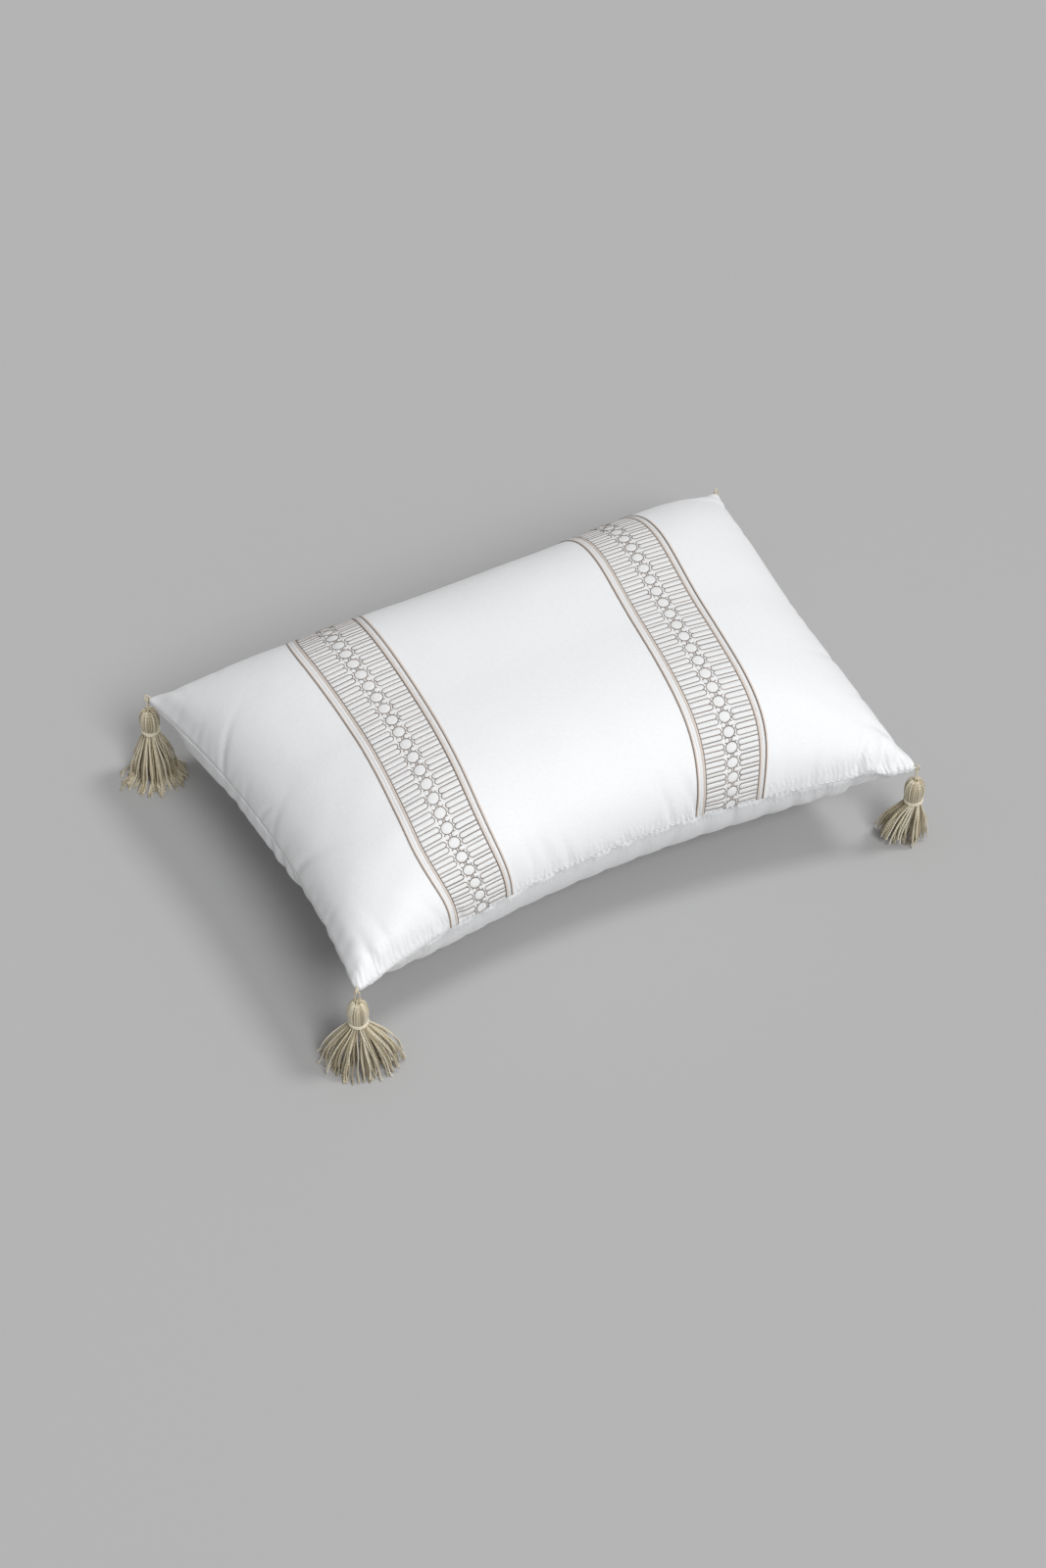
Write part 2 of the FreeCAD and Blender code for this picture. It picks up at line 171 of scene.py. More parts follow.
# Corner tassels
CORNERS = {
    "front_left": (-1, -1),
    "front_right": (1, -1),
    "rear_left": (-1, 1),
    "rear_right": (1, 1),
}
YARN = 0.36 * MM                   # radius of one ply
YARN_PITCH = 5.5 * MM
CORD = 0.7 * MM                    # radius of the cord of a tack, a loop and a head's eye
HEAD_HEIGHT = 20 * MM
NECK_RADIUS = 6.6 * MM
CAMERA_RIGHT = (0.887, -0.463)
TASSEL_STYLES = {
    "front_left": {"count": 150, "length": 49 * MM, "splay": 0.6, "lean": (-0.05, -0.2),
                   "fan": CAMERA_RIGHT, "fan_size": 0.6, "droop": 0.85},
    "front_right": {"count": 145, "length": 41 * MM, "splay": 0.3, "lean": (-0.34, 0.14),
                    "fan": CAMERA_RIGHT, "fan_size": 0.35, "droop": 0.7},
    "rear_left": {"count": 150, "length": 57 * MM, "splay": 0.42, "lean": (-0.09, -0.27),
                  "fan": CAMERA_RIGHT, "fan_size": 0.1, "droop": 1.1},
    "rear_right": {"count": 140, "length": 46 * MM, "splay": 0.45, "lean": (0.02, 0.04),
                   "fan": (1.0, 0.0), "fan_size": 0.1, "droop": 0.9},
}

# Care label
LABEL_WIDTH = 21.7 * MM
LABEL_THICK = 0.35 * MM

# Camera and light: angles in degrees, azimuth then elevation
CAMERA_ANGLES = (-27.56, 47.44)
CAMERA_DISTANCE = 2.9
LENS = 84.2
AIM_HEIGHT = 63 * MM
AIM_OFFSET = (-11.95 * MM, -33.4 * MM)
WORLD_LIGHT = 0.35
FLOOR_HALF = 9.0
SOFTBOXES = {                      # strength, angular size, and the direction it shines from
    "key": (1.13, 14, (-5, 55)),
    "fill": (1.75, 26, (-84, 46)),
}

# ---- Small helpers ---------------------------------------------------------------------------


def unit(v):
    return v / np.maximum(np.linalg.norm(v, axis=-1, keepdims=True), 1e-12)


def lerp(a, b, t):
    return a + (b - a) * t


def smoothstep(low, high, x):
    t = np.clip((x - low) / (high - low), 0, 1)
    return t * t * (3 - 2 * t)


def quads_of(index):
    """Quads between neighbours in a grid of point numbers."""
    corners = [index[:-1, :-1], index[1:, :-1], index[1:, 1:], index[:-1, 1:]]
    return np.stack(corners, -1).reshape(-1, 4)


def grid_faces(rows, columns, wrap_rows=False, wrap_columns=False):
    """Quads of a rows x columns grid of points numbered row by row."""
    index = np.arange(rows * columns).reshape(rows, columns)
    if wrap_rows:
        index = np.concatenate([index, index[:1]], 0)
    if wrap_columns:
        index = np.concatenate([index, index[:, :1]], 1)
    return quads_of(index)


def add_mesh(name, points, quads, uv=None, tone=None):
    """A smooth-shaded mesh object of quads. uv and tone are given per point."""
    mesh = bpy.data.meshes.new(name)
    mesh.vertices.add(len(points))
    mesh.vertices.foreach_set("co", np.ascontiguousarray(points, np.float32).ravel())
    mesh.loops.add(quads.size)
    mesh.loops.foreach_set("vertex_index", quads.astype(np.int32).ravel())
    mesh.polygons.add(len(quads))
    mesh.polygons.foreach_set("loop_start", np.arange(0, quads.size, 4, dtype=np.int32))
    mesh.update(calc_edges=True)
    mesh.validate()
    if uv is not None:
        layer = mesh.uv_layers.new(name="flat")
        layer.data.foreach_set("uv", uv[quads.ravel()].astype(np.float32).ravel())
    if tone is not None:
        layer = mesh.attributes.new("tone", "FLOAT", "POINT")
        layer.data.foreach_set("value", tone.astype(np.float32))
    mesh.shade_smooth()
    obj = bpy.data.objects.new(name, mesh)
    bpy.context.scene.collection.objects.link(obj)
    return obj


def add_piece(name, parts, body, slot, material, *replaces):
    """A visible piece on a body, from (points, quads, uv, tone)."""
    obj = add_mesh(name, *parts)
    obj.data.materials.append(material)
    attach(obj, body)
    if replaces:
        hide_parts(*replaces)
    return obj


def join_parts(parts):
    """Joins (points, quads, uv, tone) parts into one."""
    points, quads, uvs, tones = zip(*parts)
    starts = np.cumsum([0] + [len(p) for p in points])
    quads = [faces + start for faces, start in zip(quads, starts)]
    return tuple(np.concatenate(group) for group in (points, quads, uvs, tones))


def along(paths):
    """Distance run along each path, for an array of paths (count, points, 3)."""
    step = np.linalg.norm(np.diff(paths, axis=1), axis=2)
    return np.concatenate([np.zeros((len(paths), 1)), np.cumsum(step, axis=1)], 1)


def carried_frames(paths):
    """Two side directions of each path, carried along it without twisting."""
    tangent = unit(np.gradient(paths, axis=1))
    side = np.empty_like(paths)
    last = np.cross(tangent[:, 0], [0.31, 0.17, 0.93])
    for k in range(paths.shape[1]):
        last = unit(last - tangent[:, k] * np.sum(last * tangent[:, k], -1, keepdims=True))
        side[:, k] = last
    return side, np.cross(tangent, side)


def pad_ends(values):
    """Repeats the first and last entry of each path."""
    return np.concatenate([values[:, :1], values, values[:, -1:]], 1)


def tubes(paths, radius, sides=6, ups=None, flat=1.0, tone=None):
    """Round or flattened tubes with closed ends, along paths (count, points, 3). ups are the
    directions that the flattened side faces. uv is distance along and angle round, in
    millimetres and turns."""
    count, length, _ = paths.shape
    reach = pad_ends(np.broadcast_to(np.asarray(radius, float), (count, length)))
    reach[:, [0, -1]] *= 0.02
    if ups is None:
        side, other = (pad_ends(v) for v in carried_frames(paths))
    else:
        tangent = pad_ends(unit(np.gradient(paths, axis=1)))
        side = unit(np.cross(tangent, pad_ends(ups)))
        other = np.cross(side, tangent)
    paths = pad_ends(paths)
    length += 2
    angle = np.linspace(0, 2 * math.pi, sides, endpoint=False)[:, None]
    ring = side[:, :, None] * np.cos(angle) + other[:, :, None] * np.sin(angle) * flat
    points = paths[:, :, None] + reach[:, :, None, None] * ring
    one = grid_faces(length, sides, wrap_columns=True)
    quads = (one[None] + (np.arange(count) * length * sides)[:, None, None]).reshape(-1, 4)
    uv = np.stack([
        np.broadcast_to(along(paths)[:, :, None] / MM, (count, length, sides)),
        np.broadcast_to(np.arange(sides) / sides, (count, length, sides)),
    ], -1)
    tones = np.repeat(np.full(count, 0.5) if tone is None else tone, length * sides)
    return points.reshape(-1, 3), quads, uv.reshape(-1, 2), tones


def direction(azimuth, elevation):
    """Unit vector at an azimuth from +X and an elevation, in degrees."""
    a, e = math.radians(azimuth), math.radians(elevation)
    return Vector((math.cos(a) * math.cos(e), math.sin(a) * math.cos(e), math.sin(e)))


# ---- Cover: start shape, cloth simulation and finished skin ----------------------------------


def arc_radius(half, sag):
    return (half * half + sag * sag) / (2 * sag)


def arc_bow(t, half, sag):
    """1 at the middle of a bowed edge and 0 at its ends, along a circular arc."""
    radius = arc_radius(half, sag)
    return (np.sqrt(radius * radius - (half * t) ** 2) - (radius - sag)) / sag


def half_length(v):
    """Middle to corner along X, from the near edge (v is -1) to the far edge (v is 1)."""
    return lerp(NEAR_HALF_LENGTH, FAR_HALF_LENGTH, (v + 1) / 2)


def dome(angle):
    return np.cos(angle) * (1 + FULLNESS * np.sin(angle) ** 2)


def even_angles(cells, half, height):
    """Angles that space points evenly along the dome's arc."""
    a = np.linspace(-math.pi / 2, math.pi / 2, 2001)
    arc = np.stack([half * np.sin(a), height * dome(a)], 1)
    run = np.concatenate([[0], np.cumsum(np.linalg.norm(np.diff(arc, axis=0), axis=1))])
    return np.interp(np.linspace(0, run[-1], cells + 1), run, a)


def start_shape(height, side, share):
    """The pillow's upper (side 1) or lower (side -1) skin, as a grid of points."""
    domed_u = np.sin(even_angles(CELLS[0], MEAN_HALF_LENGTH - SHORT_SAG, height))[:, None]
    domed_v = np.sin(even_angles(CELLS[1], HALF_WIDTH - LONG_SAG, height))[None, :]
    even_u = np.linspace(-1, 1, CELLS[0] + 1)[:, None]
    even_v = np.linspace(-1, 1, CELLS[1] + 1)[None, :]
    u = lerp(domed_u, even_u, np.abs(domed_v) ** 6)
    v = lerp(domed_v, even_v, np.abs(domed_u) ** 6)
    half = half_length(v)
    x = u * (half - SHORT_SAG * arc_bow(v, HALF_WIDTH, SHORT_SAG))
    y = v * (HALF_WIDTH - LONG_SAG * arc_bow(u, half, LONG_SAG))
    lift = SEAM_LIFT * ((1 - u * u) * ((1 - v) / 2) ** 2 + (1 - v * v) * u ** 4)
    z = SEAM_Z + lift + side * share * height * dome(np.arcsin(u)) * dome(np.arcsin(v))
    return np.stack([x, y, z], -1)


def hat_weights(points, cells):
    """Smooth weights of evenly spaced knots, one a cell, at points given in cells."""
    gap = np.abs(points[:, None] - np.arange(-1, cells + 2)[None, :])
    near = 2 / 3 - gap ** 2 + gap ** 3 / 2
    far = np.maximum(2 - gap, 0) ** 3 / 6
    return np.where(gap < 1, near, far)


def waves(rng, shape, step):
    """Smooth random waves on a grid, with a knot every few cells."""
    cells = (shape[0] // step + 1, shape[1] // step + 1)
    knots = rng.normal(0, 1, (cells[0] + 3, cells[1] + 3))
    across = hat_weights(np.arange(shape[0]) / step, cells[0])
    down = hat_weights(np.arange(shape[1]) / step, cells[1])
    return across @ knots @ down.T


def simulate(upper, lower):
    """Blows the closed cover up from inside, with its seam held, as cloth of the cut size."""
    upper_index, lower_index, inside = shared_rim(CELLS[0] + 1, CELLS[1] + 1)
    points, faces, _ = closed_pair(upper, lower)
    x = np.linspace(-CUT[0] / 2, CUT[0] / 2, CELLS[0] + 1)
    y = np.linspace(-CUT[1] / 2, CUT[1] / 2, CELLS[1] + 1)
    flat = np.stack([*np.meshgrid(x, y, indexing="ij"), np.zeros(inside.shape)], -1)
    flat = np.concatenate([flat.reshape(-1, 3), flat[inside] - [0, 0, 0.1 * MM]])
    cloth = add_mesh("cover_cloth", points, faces)
    cloth.shape_key_add(name="Basis")
    cut = cloth.shape_key_add(name="cut")
    cut.data.foreach_set("co", flat.astype(np.float32).ravel())
    cut.value = 0.0
    held = cloth.vertex_groups.new(name="held")
    held.add([int(k) for k in upper_index[~inside]], 1.0, "REPLACE")
    modifier = cloth.modifiers.new("Cloth", "CLOTH")
    for name, value in CLOTH.items():
        setattr(modifier.settings, name, value)
    modifier.settings.rest_shape_key = cut
    modifier.settings.vertex_group_mass = "held"
    modifier.settings.effector_weights.gravity = 0
    modifier.collision_settings.use_collision = False
    modifier.point_cache.frame_start = 1
    modifier.point_cache.frame_end = SIM_FRAMES
    scene = bpy.context.scene
    scene.frame_end = SIM_FRAMES
    for number in range(1, SIM_FRAMES + 1):
        scene.frame_set(number)
    blown = cloth.evaluated_get(bpy.context.evaluated_depsgraph_get())
    result = np.empty(len(points) * 3, np.float32)
    blown.data.vertices.foreach_get("co", result)
    result = result.reshape(-1, 3).astype(float)
    bpy.data.objects.remove(cloth)
    scene.frame_set(1)
    move = result - points
    size = np.linalg.norm(move, axis=1, keepdims=True)
    result = points + move * np.minimum(1, MOST_MOVE / np.maximum(size, 1e-9))
    return result[upper_index], result[lower_index]


def round_tips(points):
    """Blunts the four corner tips, along each corner's diagonal."""
    for sx, sy in CORNERS.values():
        diagonal = np.array([sx, sy]) / math.sqrt(2)
        limit = np.array([half_length(sy) * sx, HALF_WIDTH * sy]) @ diagonal - TIP_START
        beyond = np.maximum(points[..., :2] @ diagonal - limit, 0)
        back = beyond - TIP_SOFTNESS * (1 - np.exp(-beyond / TIP_SOFTNESS))
        points[..., :2] -= back[..., None] * diagonal
    return points


def rest_on_floor(points):
    """Flattens what would go through the floor."""
    z = points[..., 2] - FLOOR_GAP
    points[..., 2] = (z + np.sqrt(z * z + FLOOR_BLEND ** 2)) / 2
    return points


def smoothed(grid, passes):
    """Evens out the cloth's cells away from the seam."""
    for _ in range(passes):
        across = (grid[:-2] + 2 * grid[1:-1] + grid[2:]) / 4
        grid[1:-1, 1:-1] = across[:, 1:-1]
        down = (grid[:, :-2] + 2 * grid[:, 1:-1] + grid[:, 2:]) / 4
        grid[1:-1, 1:-1] = down[1:-1]
    return grid


def bulge_shoulder(grid):
    """Pushes the upper skin out above the far and right seams, where the filling is tightest."""
    u = np.linspace(-1, 1, grid.shape[0])[:, None]
    v = np.linspace(-1, 1, grid.shape[1])[None, :]
    normal = unit(np.cross(np.gradient(grid, axis=0), np.gradient(grid, axis=1)))
    fade = np.where(u < 0, 1.7, 1.1)
    size = SHOULDER * (1 - u * u) ** fade * smoothstep(0.0, 0.68, v) * smoothstep(1.0, 0.84, v)
    size = size + SIDE_SHOULDER * (1 - v * v) * smoothstep(0.2, 0.75, u) * smoothstep(1.0, 0.88, u)
    return grid + normal * size[..., None]


def cover_grids():
    """The upper and lower skin as grids of points, blown up and resting on the floor."""
    rng = np.random.default_rng(7)
    shape = (CELLS[0] + 1, CELLS[1] + 1)
    rim = np.minimum(1 - np.abs(np.linspace(-1, 1, shape[0]))[:, None],
                     1 - np.abs(np.linspace(-1, 1, shape[1]))[None, :])
    fade = np.minimum(1, 4 * rim)
    share = START_HEIGHT
    grids = []
    for height, side in ((CROWN, 1), (BELLY, -1)):
        grid = start_shape(height, side, share)
        grid[..., 2] += (waves(rng, shape, 8) + 0.6 * waves(rng, shape, 4)) * START_WAVES * fade
        grids.append(grid)
    grids = [smoothed(g, 3) for g in simulate(*grids)]
    grids[0] = bulge_shoulder(grids[0])
    u = np.linspace(-1, 1, shape[0])[:, None]
    crumple = lerp(0.12 * MM, CRUMPLE, smoothstep(-0.4, -0.65, u)) * smoothstep(0, 0.3, rim)
    grids[0][..., 2] += crumple * (waves(rng, shape, 4) + 0.8 * waves(rng, shape, 3))
    return [rest_on_floor(round_tips(g)) for g in grids]


def with_border(grid, other):
    """Adds a border to one skin's grid from the first rows of the other, across the seam."""
    out = np.empty((grid.shape[0] + 2, grid.shape[1] + 2, 3))
    out[1:-1, 1:-1] = grid
    out[0, 1:-1] = other[1]
    out[-1, 1:-1] = other[-2]
    out[1:-1, 0] = other[:, 1]
    out[1:-1, -1] = other[:, -2]
    for i, di in ((0, 1), (-1, -1)):
        for j, dj in ((0, 1), (-1, -1)):
            out[i, j] = 2 * out[i + di, j + dj] - out[i + 2 * di, j + 2 * dj]
    return out


def cubic(t):
    """Weights of four knots in a row, and their slopes, at t between the second and third."""
    w = np.stack([
        -0.5 * t + t ** 2 - 0.5 * t ** 3,
        1 - 2.5 * t ** 2 + 1.5 * t ** 3,
        0.5 * t + 2 * t ** 2 - 1.5 * t ** 3,
        -0.5 * t ** 2 + 0.5 * t ** 3,
    ], -1)
    slope = np.stack([
        -0.5 + 2 * t - 1.5 * t ** 2,
        -5 * t + 4.5 * t ** 2,
        0.5 + 4 * t - 4.5 * t ** 2,
        -t + 1.5 * t ** 2,
    ], -1)
    return w, slope


class Skin:
    """One side of the cover: the simulated grid with the folds that run in from its seam.
    Places on it are (across, up) on the flat cloth, in metres from its middle."""

    def __init__(self, grid, other, side, seed):
        self.knots = with_border(grid, other)
        self.side = side
        self.folds = self.make_folds(np.random.default_rng(seed))

    def make_folds(self, rng):
        """Folds as (edge, place along it, depth, width, length, slant)."""
        folds = []
        for edge, length in (("near", CUT[0]), ("far", CUT[0]), ("left", CUT[1]), ("right", CUT[1])):
            half = length / 2
            place = -half + rng.uniform(8, 20) * MM
            while place < half - 8 * MM:
                big = rng.random() < 0.35
                depth = rng.uniform(1.0, 2.0) if big else rng.uniform(0.35, 0.9)
                width = rng.uniform(3.2, 5.5)
                reach = rng.uniform(22, 42) if big else rng.uniform(9, 20)
                if self.side < 0:
                    depth, width = depth * 1.25, width * 1.3
                slant = rng.uniform(-0.35, 0.35)
                folds.append((edge, place, depth * MM, width * MM, reach * MM, slant))
                place += rng.uniform(9, 24) * MM
        place = -CUT[0] / 2 + 12 * MM
        while place < CUT[0] / 2 - 12 * MM:
            depth = rng.uniform(0.45, 1.0) * MM * (1.0 if place < 160 * MM else 0.5)
            width = rng.uniform(2.3, 3.0) * MM
            reach = rng.uniform(7, 17) * MM
            folds.append(("near", place, depth, width, reach, rng.uniform(-0.2, 0.2)))
            place += rng.uniform(6.5, 10) * MM
        for edge, *sizes, slant in CREASES[self.side]:
            folds.append((edge, *(v * MM for v in sizes), slant))
        return folds

    def base(self, across, up):
        """Points of the smooth skin and its outward normals."""
        p = (across / CUT[0] + 0.5) * CELLS[0]
        q = (up / CUT[1] + 0.5) * CELLS[1]
        i = np.clip(np.floor(p), 0, CELLS[0] - 1).astype(int)
        j = np.clip(np.floor(q), 0, CELLS[1] - 1).astype(int)
        wi, si = cubic(p - i)
        wj, sj = cubic(q - j)
        point = np.zeros(p.shape + (3,))
        by_p = np.zeros_like(point)
        by_q = np.zeros_like(point)
        for a in range(4):
            for b in range(4):
                knot = self.knots[i + a, j + b]
                point += (wi[..., a] * wj[..., b])[..., None] * knot
                by_p += (si[..., a] * wj[..., b])[..., None] * knot
                by_q += (wi[..., a] * sj[..., b])[..., None] * knot
        return point, unit(np.cross(by_p, by_q)) * self.side

    def fold_depth(self, across, up):
        """How far the folds and the seam's puff push the skin in or out."""
        from_edge = {
            "near": up + CUT[1] / 2,
            "far": CUT[1] / 2 - up,
            "left": across + CUT[0] / 2,
            "right": CUT[0] / 2 - across,
        }
        seam = np.minimum.reduce([np.maximum(d, 0) for d in from_edge.values()])
        puff = lerp(SEAM_PUFF, FAR_SEAM_PUFF, smoothstep(40 * MM, 4 * MM, from_edge["far"]))
        out = puff * (1 - np.exp(-seam / (1.3 * MM))) * np.exp(-seam / (26 * MM))
        in_band = smoothstep(38 * MM, 30 * MM, np.abs(np.abs(across) - BAND_X))
        calm = 1 - 0.75 * in_band if self.side > 0 else np.ones_like(across)
        for edge, place, depth, width, reach, slant in self.folds:
            d = from_edge[edge]
            s = across if edge in ("near", "far") else up
            shape = np.exp(-((s - place - slant * d) / width) ** 2)
            shape *= (1 - np.exp(-d / (2.2 * MM))) * np.exp(-(d / reach) ** 2)
            if edge == "far":
                shape = shape * 0.5
            out -= depth * shape * calm
        if self.side < 0:
            bulge = np.exp(-((from_edge["left"] - 14 * MM) / (10 * MM)) ** 2)
            bulge = bulge * smoothstep(-90 * MM, -20 * MM, up) * smoothstep(178 * MM, 130 * MM, up)
            out += LEFT_BULGE * bulge
        return out

    def slot(self, up, point):
        """Opens the far seam for the zipper: pushes its rows in, and its lips apart."""
        seam = np.maximum(CUT[1] / 2 - up, 0)
        span = smoothstep(SLOT_HALF + 5 * MM, SLOT_HALF, np.abs(point[..., 0]))
        lips = (1 - np.exp(-(seam / (0.5 * MM)) ** 2)) * np.exp(-(seam / (9 * MM)) ** 2)
        point[..., 1] -= SLOT_DEPTH * np.exp(-(seam / (0.75 * MM)) ** 2) * span
        point[..., 2] += self.side * SLOT_OPEN * lips * span
        return point

    def at(self, across, up):
        point, normal = self.base(across, up)
        point = point + normal * self.fold_depth(across, up)[..., None]
        near = up + CUT[1] / 2
        for place, lift, width in SEAM_KINKS:
            point[..., 2] += lift * np.exp(-((across - place) / width) ** 2 - (near / (15 * MM)) ** 2)
        return self.slot(up, point)

    def on(self, across, up):
        """Points of the finished skin, and its normals."""
        step = 0.5 * MM
        du = self.at(across + step, up) - self.at(across - step, up)
        dv = self.at(across, up + step) - self.at(across, up - step)
        return self.at(across, up), unit(np.cross(du, dv)) * self.side


def skin_rows(cells, finished):
    """Even rows across the skin, with extra ones by each seam, in simulation cells."""
    inner = np.linspace(0, cells, finished + 1)[1:-1]
    inner = inner[(inner > SEAM_ROWS[-1] + 0.15) & (inner < cells - SEAM_ROWS[-1] - 0.15)]
    rows = np.array(SEAM_ROWS)
    return np.concatenate([[0], rows, inner, cells - rows[::-1], [cells]])


def shared_rim(rows, columns):
    """Point numbers of two grids that share their rim, and which of a grid's points are inside."""
    inside = np.zeros((rows, columns), bool)
    inside[1:-1, 1:-1] = True
    upper = np.arange(rows * columns).reshape(rows, columns)
    lower = upper.copy()
    lower[inside] = upper.size + np.arange(inside.sum())
    return upper, lower, inside


def closed_pair(upper, lower):
    """Points and quads of two grids that share their rim, and which points are inside it."""
    upper_index, lower_index, inside = shared_rim(*upper.shape[:2])
    points = np.concatenate([upper.reshape(-1, 3), lower[inside]])
    return points, np.concatenate([quads_of(upper_index), quads_of(lower_index)[:, ::-1]]), inside


def build_cover(front, back, material):
    across = (skin_rows(CELLS[0], SKIN_CELLS[0]) / CELLS[0] - 0.5) * CUT[0]
    up = (skin_rows(CELLS[1], SKIN_CELLS[1]) / CELLS[1] - 0.5) * CUT[1]
    across, up = np.meshgrid(across, up, indexing="ij")
    points, quads, inside = closed_pair(front.at(across, up), back.at(across, up))
    flat = np.stack([across, up], -1)
    uv = np.concatenate([flat.reshape(-1, 2), flat[inside]]) / MM
    cover = add_piece("cover_skin", (points, quads, uv), "cover", "cover_sateen", material,
                      "front_panel", "back_panel")


def build_insert(grids, name, share, slot, material, *nodes):
    """The insert's casing or its filling, as a smaller copy of the simulated shape."""
    middle = np.array([0, 0, SEAM_Z])
    points, quads, _ = closed_pair(*(middle + (g[::2, ::2] - middle) * share for g in grids))
    piece = add_piece(name, (points, quads, points[:, :2] / MM), "cover", slot, material, *nodes)


# ---- Materials -------------------------------------------------------------------------------


class Nodes:
    """A material being made: short names for adding and linking shader nodes."""

    def __init__(self, name, roughness, specular, sheen=0.0):
        self.material = bpy.data.materials.new(name)
        self.material.use_nodes = True
        self.tree = self.material.node_tree
        self.shader = self.tree.nodes["Principled BSDF"]
        for socket, value in (
            ("Roughness", roughness),
            ("Sheen Weight", sheen),
            ("Sheen Roughness", 0.45),
            ("Specular IOR Level", specular),
        ):
            self.shader.inputs[socket].default_value = value

    def connect(self, value, socket):
        """Links an output to a socket, or sets the socket to a plain value."""
        if hasattr(value, "is_output"):
            self.tree.links.new(value, socket)
        else:
            socket.default_value = value

    def add(self, kind, **inputs):
        node = self.tree.nodes.new(kind)
        for name, value in inputs.items():
            self.connect(value, node.inputs[name.replace("_", " ")])
        return node

    def math(self, operation, *values):
        node = self.tree.nodes.new("ShaderNodeMath")
        node.operation = operation
        for value, socket in zip(values, node.inputs):
            self.connect(value, socket)
        return node.outputs[0]

    def uv(self):
        node = self.tree.nodes.new("ShaderNodeUVMap")
        node.uv_map = "flat"
        parts = self.add("ShaderNodeSeparateXYZ", Vector=node.outputs[0])
        return node.outputs[0], parts.outputs[0], parts.outputs[1]

    def place(self):
        return self.tree.nodes.new("ShaderNodeTexCoord").outputs["Object"]

    def tone(self):
        """The tone given to each point of the mesh."""
        node = self.tree.nodes.new("ShaderNodeAttribute")
        node.attribute_name = "tone"
        return node.outputs["Fac"]

    def noise(self, vector, scale, detail=3.0, roughness=0.5):
        return self.add("ShaderNodeTexNoise", Vector=vector, Scale=scale, Detail=detail,
                        Roughness=roughness).outputs["Fac"]

    def stripes(self, value, per_unit, phase=0.0):
        """A soft wave from 0 to 1 of value."""
        turned = self.math("MULTIPLY_ADD", value, 2 * math.pi * per_unit, phase)
        return self.math("MULTIPLY_ADD", self.math("SINE", turned), 0.5, 0.5)

    def mix(self, *shares):
        """The sum of (value, share) pairs."""
        parts = [self.math("MULTIPLY", value, share) for value, share in shares]
        total = parts[0]
        for part in parts[1:]:
            total = self.math("ADD", total, part)
        return total

    def colour(self, value, *stops):
        """Base colour from a ramp with (place, (r, g, b)) stops."""
        node = self.tree.nodes.new("ShaderNodeValToRGB")
        self.connect(value, node.inputs[0])
        elements = node.color_ramp.elements
        while len(elements) < len(stops):
            elements.new(0.5)
        for element, (place, colour) in zip(elements, stops):
            element.position = place
            element.color = (*colour, 1)
        self.connect(node.outputs[0], self.shader.inputs["Base Color"])

    def bump(self, height, distance, strength=1.0):
        node = self.add("ShaderNodeBump", Height=height, Distance=distance, Strength=strength)
        before = self.shader.inputs["Normal"].links
        if before:
            self.connect(before[0].from_socket, node.inputs["Normal"])
        self.connect(node.outputs[0], self.shader.inputs["Normal"])


def sateen_material():
    """Fine white sateen: long floats in one direction, with slight slubs and a soft sheen."""
    m = Nodes("white_sateen", 0.5, sheen=0.2, specular=0.35)
    flat, x, y = m.uv()
    m.colour(m.noise(flat, 0.35, 2.0), (0.3, (0.805, 0.813, 0.828)), (0.7, (0.835, 0.84, 0.848)))
    warp = m.stripes(x, 3.4)
    weft = m.math("ADD", m.math("MULTIPLY", m.stripes(y, 2.6), 0.35), 0.65)
    stretched = m.add("ShaderNodeMapping", Vector=flat, Scale=(3.0, 0.4, 1.0))
    thread = m.noise(stretched.outputs[0], 1.3, 2.0)
    uneven = m.tree.nodes.new("ShaderNodeMapRange")
    for value, socket in ((thread, 0), (0.42, 3), (0.58, 4)):
        m.connect(value, uneven.inputs[socket])
    m.connect(uneven.outputs[0], m.shader.inputs["Roughness"])
    m.bump(m.math("MULTIPLY", warp, weft), 0.04 * MM, 0.5)
    m.bump(thread, 0.05 * MM, 0.5)
    m.bump(m.noise(flat, 0.11, 3.0), 0.35 * MM, 0.5)
    # Dents between the stitches beside the near seam, and fine pleats that run up from them
    above = m.math("ADD", y, CUT[1] / 2 / MM)
    off_line = m.math("ABSOLUTE", m.math("SUBTRACT", above, 1.5))
    at_line = m.math("SUBTRACT", 1.0, m.math("MULTIPLY", off_line, 0.7))
    between = m.math("POWER", m.stripes(x, 1 / STITCH_PITCH * MM, -math.pi / 2), 3.0)
    dents = m.math("MULTIPLY", m.math("MAXIMUM", at_line, 0.0), between)
    m.bump(m.math("SUBTRACT", 1.0, dents), 0.5 * MM, 0.7)
    wander = m.math("MULTIPLY", m.noise(flat, 0.08, 2.0), 9.0)
    pleat = m.stripes(m.math("ADD", x, wander), 0.21)
    fade = m.math("MAXIMUM", m.math("SUBTRACT", 1.0, m.math("MULTIPLY", above, 0.055)), 0.0)
    m.bump(m.math("MULTIPLY", pleat, fade), 0.8 * MM, 0.65)
    return m.material


def casing_material():
    """Plain white calico of the insert's casing."""
    m = Nodes("insert_calico", 0.8, sheen=0.15, specular=0.2)
    flat, x, y = m.uv()
    m.colour(m.noise(flat, 0.3), (0.3, (0.78, 0.77, 0.74)), (0.7, (0.84, 0.83, 0.81)))
    m.bump(m.math("MULTIPLY", m.stripes(x, 1.6), m.stripes(y, 1.6)), 0.08 * MM, 0.8)
    return m.material


